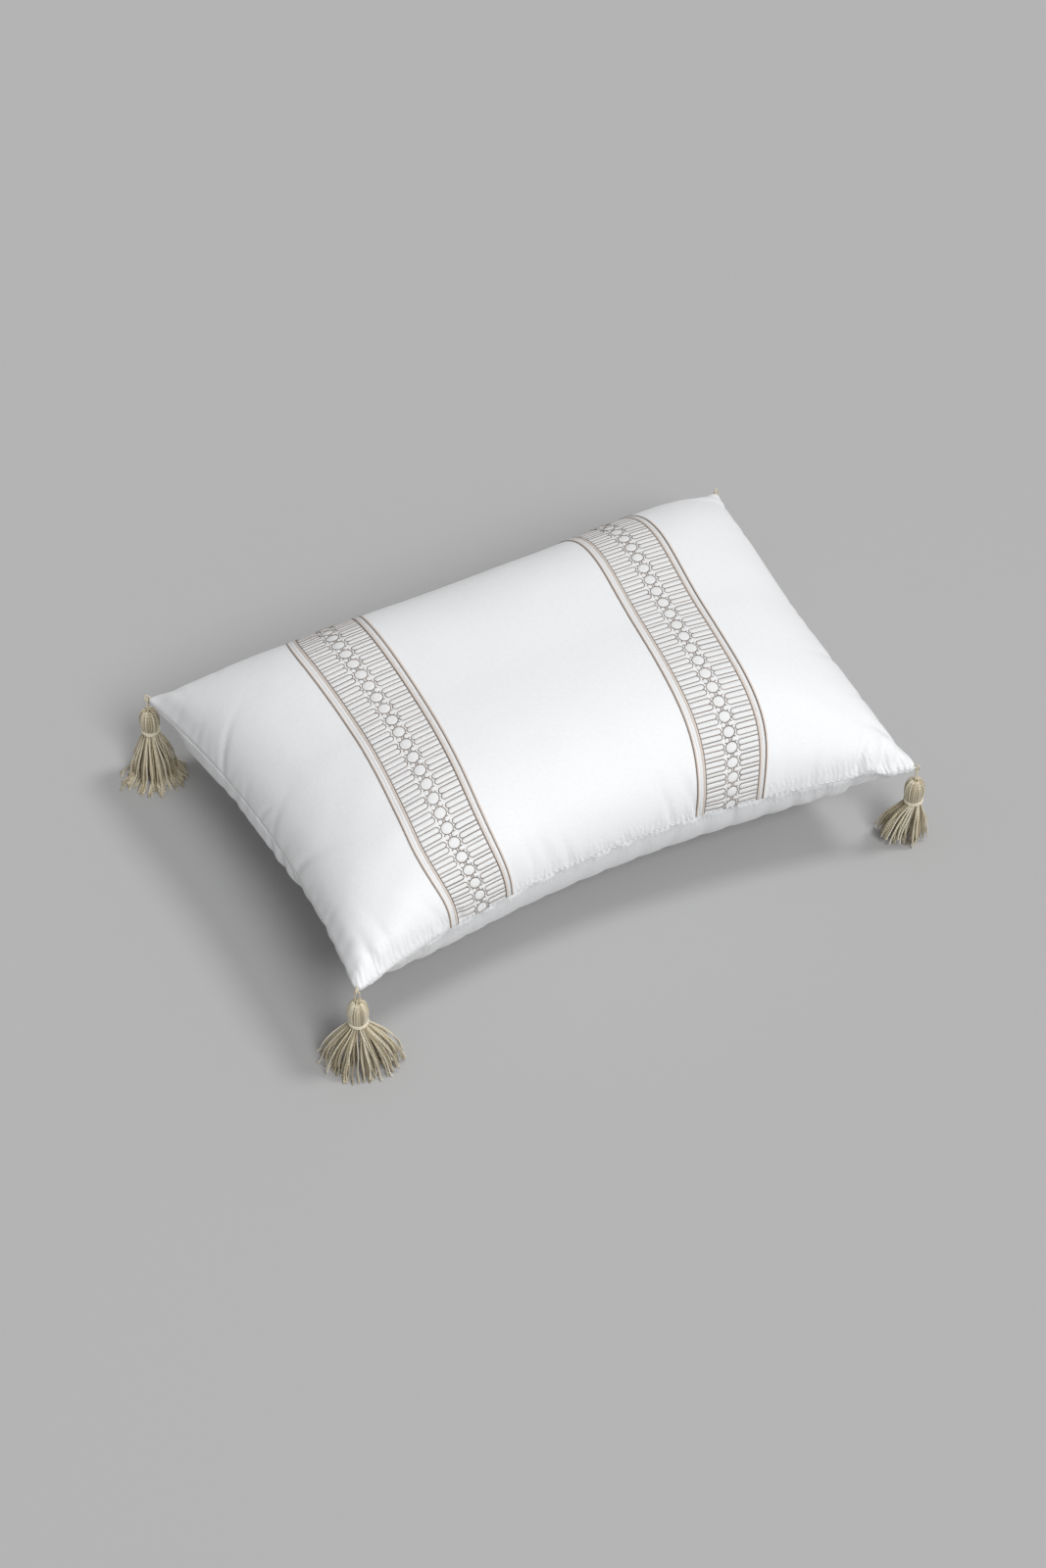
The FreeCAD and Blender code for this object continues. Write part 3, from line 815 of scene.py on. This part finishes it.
def filling_material():
    """Loose white fibre."""
    m = Nodes("white_fibre", 0.95, sheen=0.3, specular=0.1)
    tufts = m.noise(m.place(), 90.0, 8.0, 0.7)
    m.colour(tufts, (0.3, (0.8, 0.8, 0.79)), (0.7, (0.93, 0.93, 0.92)))
    m.bump(tufts, 3 * MM)
    return m.material


def thread_material(name, dark, light):
    """Embroidery thread. Its tone varies from stitch to stitch, and its fibres wind round it."""
    m = Nodes(name, 0.42, sheen=0.2, specular=0.45)
    _, run, turn = m.uv()
    fibre = m.stripes(m.math("ADD", m.math("MULTIPLY", run, 1.2), turn), 1.0)
    m.colour(m.mix((m.tone(), 0.7), (fibre, 0.3)), (0.15, dark), (0.85, light))
    m.bump(fibre, 0.12 * MM, 0.7)
    return m.material


def satin_material(name, dark, light):
    """Satin stitch: threads side by side, with the gloss of flat rayon."""
    m = Nodes(name, 0.34, sheen=0.1, specular=0.5)
    flat, x, _ = m.uv()
    lines = m.stripes(x, 3.2)
    m.colour(m.mix((lines, 0.4), (m.noise(flat, 1.7, 2.0), 0.6)), (0.2, dark), (0.8, light))
    m.bump(lines, 0.1 * MM, 0.8)
    return m.material


def yarn_material():
    """Beige tassel yarn of cotton: matt, with fibres along the twist and tone from yarn to yarn."""
    m = Nodes("tassel_cotton", 0.78, sheen=0.35, specular=0.2)
    _, run, turn = m.uv()
    grain = m.noise(m.place(), 900.0, 3.0, 0.6)
    fibre = m.stripes(m.mix((run, 0.45), (turn, 3.0)), 1.0)
    m.colour(m.mix((m.tone(), 0.6), (grain, 0.28), (fibre, 0.12)),
             (0.2, (0.4, 0.33, 0.2)), (0.5, (0.68, 0.6, 0.43)), (0.8, (0.92, 0.86, 0.71)))
    m.bump(fibre, 0.12 * MM, 0.8)
    m.bump(grain, 0.1 * MM, 0.6)
    return m.material


def tape_material():
    """Woven zipper tape: a fine herringbone of polyester."""
    m = Nodes("woven_tape", 0.6, sheen=0.2, specular=0.35)
    parts = m.add("ShaderNodeSeparateXYZ", Vector=m.place())
    rows = m.stripes(parts.outputs[2], 900.0)
    ends = m.stripes(m.math("ADD", parts.outputs[0], m.math("MULTIPLY", rows, 0.3 * MM)), 1100.0)
    m.colour(ends, (0.2, (0.74, 0.745, 0.755)), (0.8, (0.84, 0.845, 0.85)))
    m.bump(ends, 0.1 * MM, 0.8)
    m.bump(rows, 0.06 * MM, 0.6)
    return m.material


def nylon_material():
    """Extruded nylon of the zipper's coil."""
    m = Nodes("coil_nylon", 0.3, specular=0.5)
    m.shader.inputs["Subsurface Weight"].default_value = 0.1
    m.shader.inputs["Subsurface Radius"].default_value = (0.6 * MM, 0.6 * MM, 0.6 * MM)
    streak = m.noise(m.place(), 1500.0, 2.0)
    m.colour(streak, (0.3, (0.8, 0.805, 0.81)), (0.7, (0.88, 0.885, 0.89)))
    m.bump(streak, 0.02 * MM, 0.5)
    return m.material


def enamel_material():
    """White enamel baked on die-cast zinc, worn to metal-grey on its edges."""
    m = Nodes("enamelled_zinc", 0.28, specular=0.5)
    m.shader.inputs["Coat Weight"].default_value = 0.4
    m.shader.inputs["Coat Roughness"].default_value = 0.15
    place = m.place()
    corner = m.tree.nodes.new("ShaderNodeNewGeometry").outputs["Pointiness"]
    edge = m.math("ADD", corner, m.math("MULTIPLY", m.noise(place, 700.0, 4.0), 0.05))
    m.colour(edge, (0.5, (0.82, 0.82, 0.825)), (0.56, (0.8, 0.8, 0.805)), (0.62, (0.45, 0.45, 0.46)))
    m.bump(m.noise(place, 380.0), 0.03 * MM, 0.4)
    return m.material


def label_material():
    """Woven satin label ribbon with a plain selvedge."""
    m = Nodes("label_satin", 0.36, sheen=0.1, specular=0.45)
    flat, x, y = m.uv()
    lines = m.stripes(y, 3.0)
    m.colour(m.mix((lines, 0.5), (m.noise(flat, 0.8), 0.5)),
             (0.2, (0.8, 0.8, 0.79)), (0.8, (0.88, 0.88, 0.87)))
    m.bump(lines, 0.06 * MM, 0.8)
    m.bump(m.stripes(x, 1.5), 0.03 * MM, 0.4)
    return m.material


def floor_material():
    m = Nodes("studio_floor", 0.9, specular=0.1)
    m.colour(m.noise(m.place(), 0.6, 2.0), (0.2, (0.43, 0.43, 0.431)), (0.8, (0.438, 0.438, 0.439)))
    return m.material


# ---- Embroidery ------------------------------------------------------------------------------


def resample(points, spacing):
    """Points evenly spaced along a polyline on the flat cloth."""
    points = np.asarray(points, float)
    run = np.concatenate([[0], np.cumsum(np.linalg.norm(np.diff(points, axis=0), axis=1))])
    count = max(3, int(round(run[-1] / spacing)) + 1)
    at = np.linspace(0, run[-1], count)
    return np.stack([np.interp(at, run, points[:, k]) for k in range(2)], 1)


def arc(centre, radius, start, end, steps=24):
    angle = np.radians(np.linspace(start, end, steps))
    return np.stack([centre[0] + radius * np.cos(angle), centre[1] + radius * np.sin(angle)], 1)


def ring_lines():
    """Outlines of the rings and of the bulbs between them, round the band's middle line."""
    gap = math.degrees(math.asin(STEM_HALF / BULB_RADIUS))
    lines = []
    for s in MOTIFS:
        lines.append(arc((0, s), RING_RADIUS, 0, 360, 37))
        for side, turn in ((-1, 180), (1, 0)):
            centre = (side * BULB_OUT, s + PITCH / 2)
            lines.append(arc(centre, BULB_RADIUS, turn + gap, turn + 360 - gap, 25))
    return lines


def bar_lines():
    """Rounded finger tips beside each ring, and the straight lines out to the inner rail."""
    lines = []
    tip_middle = FINGER_TIP + FINGER / 2
    for s in MOTIFS:
        for side in (-1, 1):
            for half in (-1, 1):
                centre = (side * tip_middle, s + half * FINGER / 2)
                tip = arc(centre, FINGER / 2, 90 * side, 90 * side + 180, 13)[::side * half]
                edge = np.array([[side * INNER_RAIL[0], s + half * FINGER]])
                lines.append(np.concatenate([edge, tip]))
            lines.append(np.array([[side * tip_middle, s], [side * INNER_RAIL[0], s]]))
    return lines


def rail_lines(offset):
    return [np.array([[side * offset, -BAND_END], [side * offset, BAND_END]]) for side in (-1, 1)]


class Band:
    """Where a band runs on the front skin: its middle line drifts sideways along it."""

    def __init__(self, skin, middle, drift):
        self.skin = skin
        self.middle = middle
        self.drift = drift

    def on(self, across, up):
        near = np.maximum(0.5 - up / CUT[1], 0) ** 1.25
        return self.skin.on(across + self.middle + lerp(*self.drift, near), up)


def stitched(band, lines, radius, rng):
    """Raised threads along lines of a band. They dip at the end of each stitch, so they look
    sewn."""
    spacing, stitch, wander = 0.85 * MM, 2.3 * MM, 0.12 * MM
    parts = []
    for line in lines:
        flat = resample(line, spacing)
        inside = np.abs(flat[:, 1]) < BAND_END
        if inside.sum() < 4:
            continue
        flat = flat[inside]
        run = np.arange(len(flat)) * spacing
        drift = rng.normal(0, wander, 2)[None, :] * np.linspace(0, 1, len(flat))[:, None]
        drift = drift + rng.normal(0, wander * 0.35, flat.shape)
        dip = np.abs(np.sin(math.pi * run / stitch + rng.uniform(0, 3)))
        point, normal = band.on(*(flat + drift).T)
        point = point + normal * (radius * (0.15 + 0.45 * dip))[:, None]
        width = radius * (0.86 + 0.2 * dip) * rng.uniform(0.9, 1.12)
        tone = np.clip(rng.normal(0.5, 0.22, 1), 0, 1)
        parts.append(tubes(point[None], width[None], 6, normal[None], 0.75, tone))
    return join_parts(parts)


def pads(band, outlines, height, rng):
    """Low cushions of satin stitch. Each outline is (spine, half widths): it is raised most along
    its spine and meets the cloth at its edges."""
    parts = []
    profile = np.array([-1.0, -0.72, -0.3, 0.3, 0.72, 1.0])
    rise = np.array([-0.25, 0.55, 1.0, 1.0, 0.55, -0.25])
    for spine, half in outlines:
        tangent = unit(np.gradient(spine, axis=0))
        side = np.stack([-tangent[:, 1], tangent[:, 0]], 1)
        flat = spine[:, None] + side[:, None] * (half[:, None] * profile[None, :])[..., None]
        if np.abs(flat[..., 1]).max() > BAND_END:
            continue
        lift = height * rise[None, :] * np.minimum(1, half / (0.6 * half.max()))[:, None]
        lift = lift * rng.uniform(0.8, 1.15)
        lift[[0, -1]] = 0
        point, normal = band.on(flat[..., 0], flat[..., 1])
        point = point + normal * lift[..., None]
        parts.append((point.reshape(-1, 3), grid_faces(*lift.shape), flat.reshape(-1, 2) / MM,
                      np.full(lift.size, 0.5)))
    return join_parts(parts)


def finger_pads():
    width = FINGER / 2 - PAD_ROOM
    rail = INNER_RAIL[0] - PAD_ROOM
    outlines = []
    for s in MOTIFS:
        for side in (-1, 1):
            for half in (-1, 1):
                out = np.linspace(FINGER_TIP + PAD_ROOM, rail, 14)
                tip = np.clip((out - FINGER_TIP - PAD_ROOM) / width, 0.02, 1)
                widths = width * np.sqrt(np.maximum(1 - (1 - tip) ** 2, 0.02))
                spine = np.stack([side * out, np.full(14, s + half * FINGER / 2)], 1)
                outlines.append((spine, widths))
            out = np.linspace(BULB_OUT + BULB_RADIUS, rail, 12)
            spine = np.stack([side * out, np.full(12, s + PITCH / 2)], 1)
            outlines.append((spine, np.full(12, STEM_HALF - PAD_ROOM)))
    return outlines


def ring_pads():
    t = np.linspace(-1, 1, 9)
    outlines = []
    for s in MOTIFS:
        for x, y, radius in (
            (0, s, RING_RADIUS),
            (-BULB_OUT, s + PITCH / 2, BULB_RADIUS),
            (BULB_OUT, s + PITCH / 2, BULB_RADIUS),
        ):
            inner = radius - PAD_ROOM
            widths = inner * np.sqrt(np.maximum(1 - (t * 0.985) ** 2, 0.01))
            outlines.append((np.stack([x + 0 * t, y + t * inner], 1), widths))
    return outlines


def rail_ribbons(low, high):
    count = int(2 * BAND_END / (1.6 * MM))
    y = np.linspace(-BAND_END + 0.1 * MM, BAND_END - 0.1 * MM, count)
    half = np.full(count, (high - low) / 2)
    return [(np.stack([np.full(count, side * (low + high) / 2), y], 1), half) for side in (-1, 1)]


def build_band(skin, name, middle, seed, materials):
    rng = np.random.default_rng(seed)
    band = Band(skin, middle, BAND_DRIFT[name])
    # Each outer rail gets one dark outline thread, on its left flank only: painted shade on the side of
    # the raised rail cord away from the light, beside its beige satin.
    outer = [rail_lines(OUTER_RAIL[1])[0], rail_lines(OUTER_RAIL[0])[1]]
    for label, lines, radius, node in (
        ("ring_threads", ring_lines(), THREAD, "ring_chain"),
        ("bar_threads", bar_lines(), THREAD, "bar_rows"),
        ("inner_rail_threads", rail_lines(INNER_RAIL[0]), RAIL_THREADS[0], "inner_rails"),
        ("outer_rail_shade_threads", outer, RAIL_THREADS[1], "outer_rails"),
    ):
        add_piece(f"{name}_{label}", stitched(band, lines, radius, rng), "cover",
                  "embroidery_thread", materials["outline"], f"{name}_{node}")
    ribbons = rail_ribbons(INNER_RAIL[0] + 0.3 * MM, INNER_RAIL[1])
    ribbons += rail_ribbons(OUTER_RAIL[0] + 0.2 * MM, OUTER_RAIL[1] - 0.2 * MM)
    cords = stitched(band, rail_lines(INNER_RAIL[1]), RAIL_THREADS[2], rng)
    satin = join_parts([pads(band, ribbons, PAD_HEIGHTS[0], rng), cords])
    add_piece(name + "_rail_satin", satin, "cover", "embroidery_thread", materials["beige"])
    white = finger_pads() + ring_pads()
    white += rail_ribbons(INNER_RAIL[1] + 0.4 * MM, OUTER_RAIL[0] - 0.4 * MM)
    add_piece(name + "_white_satin", pads(band, white, PAD_HEIGHTS[1], rng), "cover",
              "white_thread", materials["white"])


def build_seam_stitches(skin, material):
    """White stitches just above the near seam."""
    length = 3.2 * MM
    rng = np.random.default_rng(31)
    t = np.linspace(-0.5, 0.5, 7)
    parts = []
    for place in np.arange(-110 * MM, 226 * MM, STITCH_PITCH):
        up = np.full(7, -CUT[1] / 2 + 1.5 * MM + rng.normal(0, 0.12 * MM))
        point, normal = skin.on(place + t * length, up)
        height = (0.42 * (1 - (2 * t) ** 2) - 0.18) * MM
        point = point + normal * height[:, None]
        parts.append(tubes(point[None], 0.3 * MM, 6, normal[None], 0.8, rng.uniform(0.2, 0.9, 1)))
    add_piece("near_seam_thread", join_parts(parts), "cover", "white_thread", material,
              "near_seam_stitches")


# ---- Tassels ---------------------------------------------------------------------------------


def circle_path(centre, right, up, radius, points, turns=1.0, start=0.0):
    angle = np.linspace(0, 2 * math.pi * turns, points)[:, None] + start
    return centre + radius * np.cos(angle) * right + radius * np.sin(angle) * up


def yarn(paths, rng, ply_radius=YARN, spread=1.0, tone=None):
    """Two-ply yarns along paths. spread is how far apart their plies lie."""
    count = len(paths)
    if tone is None:
        tone = np.clip(rng.normal(0.5, 0.32, count), 0, 1)
    else:
        tone = np.array([tone])
    side, other = carried_frames(paths)
    turn = along(paths) / YARN_PITCH * 2 * math.pi + rng.uniform(0, 6, count)[:, None]
    reach = ply_radius * 0.85 * spread
    plies = []
    for angle in (turn, turn + math.pi):
        plies.append(paths + (reach * np.cos(angle))[..., None] * side
                     + (reach * np.sin(angle))[..., None] * other)
    return tubes(np.concatenate(plies), ply_radius, 5, tone=np.concatenate([tone, tone]))


def link_path(centre, right, top, bottom, bend):
    """A long closed link of cord that stands between two heights, half rounds at both ends."""
    half_turn = np.linspace(0, math.pi, 23)
    upper = np.stack([bend * np.cos(half_turn), top - bend + bend * np.sin(half_turn)], 1)
    lower = np.stack([-bend * np.cos(half_turn), bottom + bend - bend * np.sin(half_turn)], 1)
    flat = resample(np.concatenate([upper, lower, upper[:1]]), 0.8 * MM)
    return centre + flat[:, :1] * right + flat[:, 1:] * np.array([0, 0, 1.0])


def soften(values, passes):
    """Evens out the values along the last axis, except at its ends."""
    for _ in range(passes):
        middle = 0.25 * values[..., :-2] + 0.5 * values[..., 1:-1] + 0.25 * values[..., 2:]
        values[..., 1:-1] = middle
    return values


def head_paths(centre, top, neck_z, head_radius, count, rng):
    """Yarns folded out of the hole at the head's top, down over its shoulders to the neck."""
    height = top - neck_z
    profile = np.array([
        (0.10, 0.94), (0.2, 1.04), (0.42, 1.07), (0.66, 1.0), (0.86, 0.86),
        (0.97, 0.66), (0.99, 0.46), (0.93, 0.27), (0.8, 0.12), (0.0, 0.0), (0.0, -0.1),
    ])
    profile[-2:, 0] = NECK_RADIUS / head_radius * np.array([1, 0.92])
    knots = np.linspace(0, 1, len(profile))
    fine = np.linspace(0, 1, 34)
    r, z = (soften(np.interp(fine, knots, column), 2) for column in profile.T)
    paths = []
    for k in range(count):
        angle = 2 * math.pi * (k + rng.uniform(-0.25, 0.25)) / count
        angle = angle + rng.normal(0, 0.05) * np.sin(fine * math.pi) + 0.1 * (1 - fine)
        out = r * head_radius * rng.uniform(0.965, 1.015)
        up = neck_z + z * height + rng.normal(0, 0.15 * MM)
        paths.append(np.stack([centre[0] + out * np.cos(angle), centre[1] + out * np.sin(angle), up], 1))
    return np.array(paths), r * head_radius, neck_z + z * height


def skirt_paths(centre, neck_z, style, rng):
    """Cut yarns that leave the neck, droop, and bend outwards where they meet the floor. Their
    style is one of TASSEL_STYLES."""
    steps = 40
    floor = 1.1 * MM
    fan, lean = np.array(style["fan"]), np.array(style["lean"])
    paths = []
    for _ in range(style["count"]):
        angle = rng.uniform(0, 2 * math.pi)
        share = math.sqrt(rng.uniform(0.0, 1.0))
        outward = np.array([math.cos(angle), math.sin(angle)])
        spread = outward * style["splay"] + fan * (fan @ outward) * style["fan_size"]
        spread = spread * share + lean + rng.normal(0, 0.07, 2)
        step = rng.normal(style["length"], 1.6 * MM) / (steps - 1)
        place = np.append(centre[:2] + outward * share * NECK_RADIUS * 0.9, neck_z)
        wave_size = rng.uniform(0.03, 0.17)
        wave_rate = rng.uniform(6, 13)
        wave_phase = rng.uniform(0, 6)
        wave_turn = rng.uniform(0, math.pi)
        wave = np.array([math.cos(wave_turn), math.sin(wave_turn)]) * wave_size
        slack = rng.uniform(0.8, 1.15) * style["droop"]
        path = [place]
        for t in np.linspace(0, 1, steps)[1:]:
            flow = spread * (0.3 + 0.7 * smoothstep(0.0, 0.2, t))
            flow = flow * (1 - slack * smoothstep(0.2, 1.0, t))
            flow = flow + wave * math.sin(wave_phase + t * wave_rate)
            place = path[-1] + unit(np.append(flow, -1.0)) * step
            if place[2] < floor:
                sideways = unit(flow * 0.6 + outward * 0.2 + lean)
                place = np.append(path[-1][:2] + sideways * step, floor)
            path.append(place)
        paths.append(path)
    paths = np.array(paths)
    paths[..., 2] = np.maximum(paths[..., 2], 1.15 * MM)
    return soften(paths.swapaxes(1, 2), 3).swapaxes(1, 2)


def build_tassel(corner, signs, seed, material):
    rng = np.random.default_rng(seed)
    out = np.array([signs[0], signs[1], 0]) / math.sqrt(2)
    side = np.array([-out[1], out[0], 0])
    rise = np.array([0, 0, 1.0])
    tack, loop, head, wrap = (
        np.array(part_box(f"{corner}_{part}"))
        for part in ("corner_tack", "tassel_loop", "tassel_head", "neck_wrap"))
    centre = tack.mean(0)
    below = centre * (1, 1, 0)

    def piece(label, parts, body, node):
        add_piece(f"{corner}_{label}", parts, body, "tassel_yarn", material, f"{corner}_{node}")

    ring = circle_path(centre, out, rise, (tack[1, 2] - tack[0, 2]) / 2 - CORD, 34)
    piece("tack_yarn", yarn(ring[None], rng, tone=0.55), "cover", "corner_tack")
    link = link_path(below, side, loop[1, 2] - CORD, loop[0, 2] + CORD, 1.9 * MM)
    piece("loop_yarn", yarn(link[None], rng, tone=0.5), corner + "_loop", "tassel_loop")

    neck_z = head[0, 2]
    head_radius = (head[1, 0] - head[0, 0]) / 2 - 0.7 * MM
    folds, core_r, core_z = head_paths(below, neck_z + HEAD_HEIGHT, neck_z, head_radius, 42, rng)
    eye_radius = 2.6 * MM
    eye = circle_path(below + rise * (head[1, 2] - CORD - eye_radius), out, rise, eye_radius, 34)
    parts = [yarn(folds, rng), yarn(eye[None], rng, tone=0.6)]
    # A core under the folded yarns, given a low tone so that it shows dark in the gaps between them:
    # painted shade.
    core_r = np.concatenate([[0.02 * MM], core_r - 0.45 * MM, [0.02 * MM]])[:, None, None]
    core_z = np.concatenate([core_z[:1], core_z, core_z[-1:]])[:, None, None]
    turn = np.linspace(0, 2 * math.pi, 24, endpoint=False)[:, None]
    core = below + core_r * (np.cos(turn) * (1, 0, 0) + np.sin(turn) * (0, 1, 0)) + core_z * rise
    faces = grid_faces(len(core), 24, wrap_columns=True)
    core = core.reshape(-1, 3)
    parts.append((core, faces, core[:, :2] / MM, np.full(len(core), 0.1)))
    piece("head_yarns", join_parts(parts), corner + "_tassel", "tassel_head")

    helix = circle_path(below, out, side, NECK_RADIUS + 0.65 * MM, 130, 3.2, rng.uniform(0, 6))
    helix = helix + rise * (wrap[:, 2].mean() + np.linspace(-1.25, 1.25, 130) * MM)[:, None]
    piece("neck_yarn", yarn(helix[None], rng, 0.42 * MM, tone=0.8), corner + "_tassel", "neck_wrap")

    strands = skirt_paths(below, neck_z, TASSEL_STYLES[corner], rng)
    fray = 1 + 1.3 * smoothstep(0.9, 1.0, np.linspace(0, 1, strands.shape[1]))
    piece("skirt_yarns", yarn(strands, rng, spread=fray), corner + "_tassel", "tassel_skirt")


# ---- Zipper and label ------------------------------------------------------------------------


def far_seam(s):
    """Points of the far seam at distances s along it from its middle."""
    radius = arc_radius(FAR_HALF_LENGTH, LONG_SAG)
    centre = np.array([0, HALF_WIDTH - LONG_SAG + radius, SEAM_Z])
    return centre - np.stack([-np.sin(s / radius), np.cos(s / radius), 0 * s], -1) * radius


def build_coils(material):
    """The two halves of the nylon chain, as real turns that hook into each other."""
    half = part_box("zipper_coil_upper")[1].x
    pitch = 1.4 * MM
    turns = np.arange(int(2 * half / pitch) * 12) / 12
    angle = turns * 2 * math.pi
    for name, side, shift in (("upper", 1, 0.0), ("lower", -1, 0.49)):
        path = far_seam(-half + (turns + shift) * pitch)
        path[:, 1] -= 2.1 * MM - 1.5 * MM * np.tanh(1.6 * np.cos(angle)) / math.tanh(1.6)
        path[:, 2] += side * (0.72 * MM + 0.62 * MM * np.sin(angle))
        add_piece("zipper_chain_" + name, tubes(path[None], 0.33 * MM, 6), "cover", "zipper_coil",
                  material, "zipper_coil_" + name)


def build_label(material):
    """A blank satin care label that hangs from the far seam, clear of the belly."""
    low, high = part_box("care_label")
    drop = high.z - low.z
    rows, columns = 30, 16
    t = np.linspace(0, 1, rows)[:, None]
    w = np.linspace(-0.5, 0.5, columns)[None, :]
    x = (low.x + high.x) / 2 + w * LABEL_WIDTH + 0 * t
    radius = arc_radius(FAR_HALF_LENGTH, LONG_SAG)
    seam = far_seam(np.arcsin(x / radius) * radius)
    curl = (1.6 * np.sin(t * 2.6) + 0.8 * np.sin(t * 5 + 0.6) + 1.2 * t * (2 * w) ** 2) * MM
    y = seam[..., 1] + 0.7 * MM + curl * smoothstep(0.0, 0.35, t)
    inner = np.stack([x, y, high.z - t * drop + 0 * w], -1)
    outer = inner + (0, LABEL_THICK, 0)
    points = np.concatenate([inner, outer[::-1]]).reshape(-1, 3)
    left = np.arange(2 * rows) * columns
    caps = []
    for k in range(rows - 1):
        cap = np.array([left[k], left[k + 1], left[2 * rows - 2 - k], left[2 * rows - 1 - k]])
        caps += [cap, cap[::-1] + columns - 1]
    faces = np.concatenate([grid_faces(2 * rows, columns, wrap_rows=True)[:, ::-1], caps])
    flat = np.stack([x, -t * drop + 0 * w], -1) / MM
    uv = np.concatenate([flat, flat[::-1]]).reshape(-1, 2)
    label = add_piece("care_label_cloth", (points, faces, uv), "care_label", "label_cloth", material,
                      "care_label")


def give_material(node, material):
    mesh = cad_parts[node].data
    mesh.materials.clear()
    mesh.materials.append(material)


# ---- Studio ----------------------------------------------------------------------------------


def build_studio():
    corners = FLOOR_HALF * np.array([(-1, -1, 0), (1, -1, 0), (1, 1, 0), (-1, 1, 0)])
    floor = add_mesh("studio_floor", corners, np.array([[0, 1, 2, 3]]))
    floor.data.materials.append(floor_material())
    world = bpy.data.worlds.new("studio")
    bpy.context.scene.world = world
    world.use_nodes = True
    background = world.node_tree.nodes["Background"]
    background.inputs[0].default_value = (1.0, 1.0, 1.0, 1)
    background.inputs[1].default_value = WORLD_LIGHT
    for name, (strength, softness, angles) in SOFTBOXES.items():
        light = bpy.data.lights.new(name, "SUN")
        light.energy = strength
        light.angle = math.radians(softness)
        softbox = bpy.data.objects.new(name, light)
        softbox.rotation_euler = direction(*angles).to_track_quat("Z", "Y").to_euler()
        bpy.context.scene.collection.objects.link(softbox)


def build_camera():
    azimuth, elevation = CAMERA_ANGLES
    back = direction(azimuth - 90, elevation)
    right = direction(azimuth, 0)
    aim = Vector((0, 0, AIM_HEIGHT)) + right * AIM_OFFSET[0] + back.cross(right) * AIM_OFFSET[1]
    data = bpy.data.cameras.new("photo_view")
    data.lens = LENS
    data.sensor_width = 36
    camera = bpy.data.objects.new("photo_view", data)
    camera.location = aim + back * CAMERA_DISTANCE
    camera.rotation_euler = back.to_track_quat("Z", "Y").to_euler()
    bpy.context.scene.collection.objects.link(camera)
    bpy.context.scene.camera = camera


# ---- The scene -------------------------------------------------------------------------------

bpy.context.scene.view_settings.view_transform = "Standard"
build_camera()
build_studio()

grids = cover_grids()
front_skin = Skin(grids[0], grids[1], 1, 11)
back_skin = Skin(grids[1], grids[0], -1, 12)
build_cover(front_skin, back_skin, sateen_material())
build_insert(grids, "insert_skin", 0.945, "insert_casing", casing_material(),
             "insert_casing_front", "insert_casing_back")
build_insert(grids, "filling_pad", 0.925, "fibre_filling", filling_material(), "insert_filling")

band_materials = {
    "outline": thread_material("outline_thread", (0.12, 0.092, 0.072), (0.31, 0.255, 0.21)),
    "beige": satin_material("beige_satin", (0.68, 0.6, 0.54), (0.82, 0.75, 0.7)),
    "white": satin_material("white_satin", (0.84, 0.845, 0.855), (0.9, 0.9, 0.905)),
}
build_band(front_skin, "left_band", -BAND_X, 21, band_materials)
build_band(front_skin, "right_band", BAND_X, 22, band_materials)
sewing_thread = thread_material("white_sewing_thread", (0.82, 0.83, 0.85), (0.92, 0.92, 0.93))
build_seam_stitches(front_skin, sewing_thread)

cotton = yarn_material()
for number, (corner, signs) in enumerate(CORNERS.items()):
    build_tassel(corner, signs, 41 + number, cotton)

build_coils(nylon_material())
tape = tape_material()
enamel = enamel_material()
for node in ("zipper_tape_upper", "zipper_tape_lower"):
    give_material(node, tape)
for node in ("zipper_top_stop", "zipper_bottom_stop", "zipper_slider", "zipper_pull_tab"):
    give_material(node, enamel)
build_label(label_material())
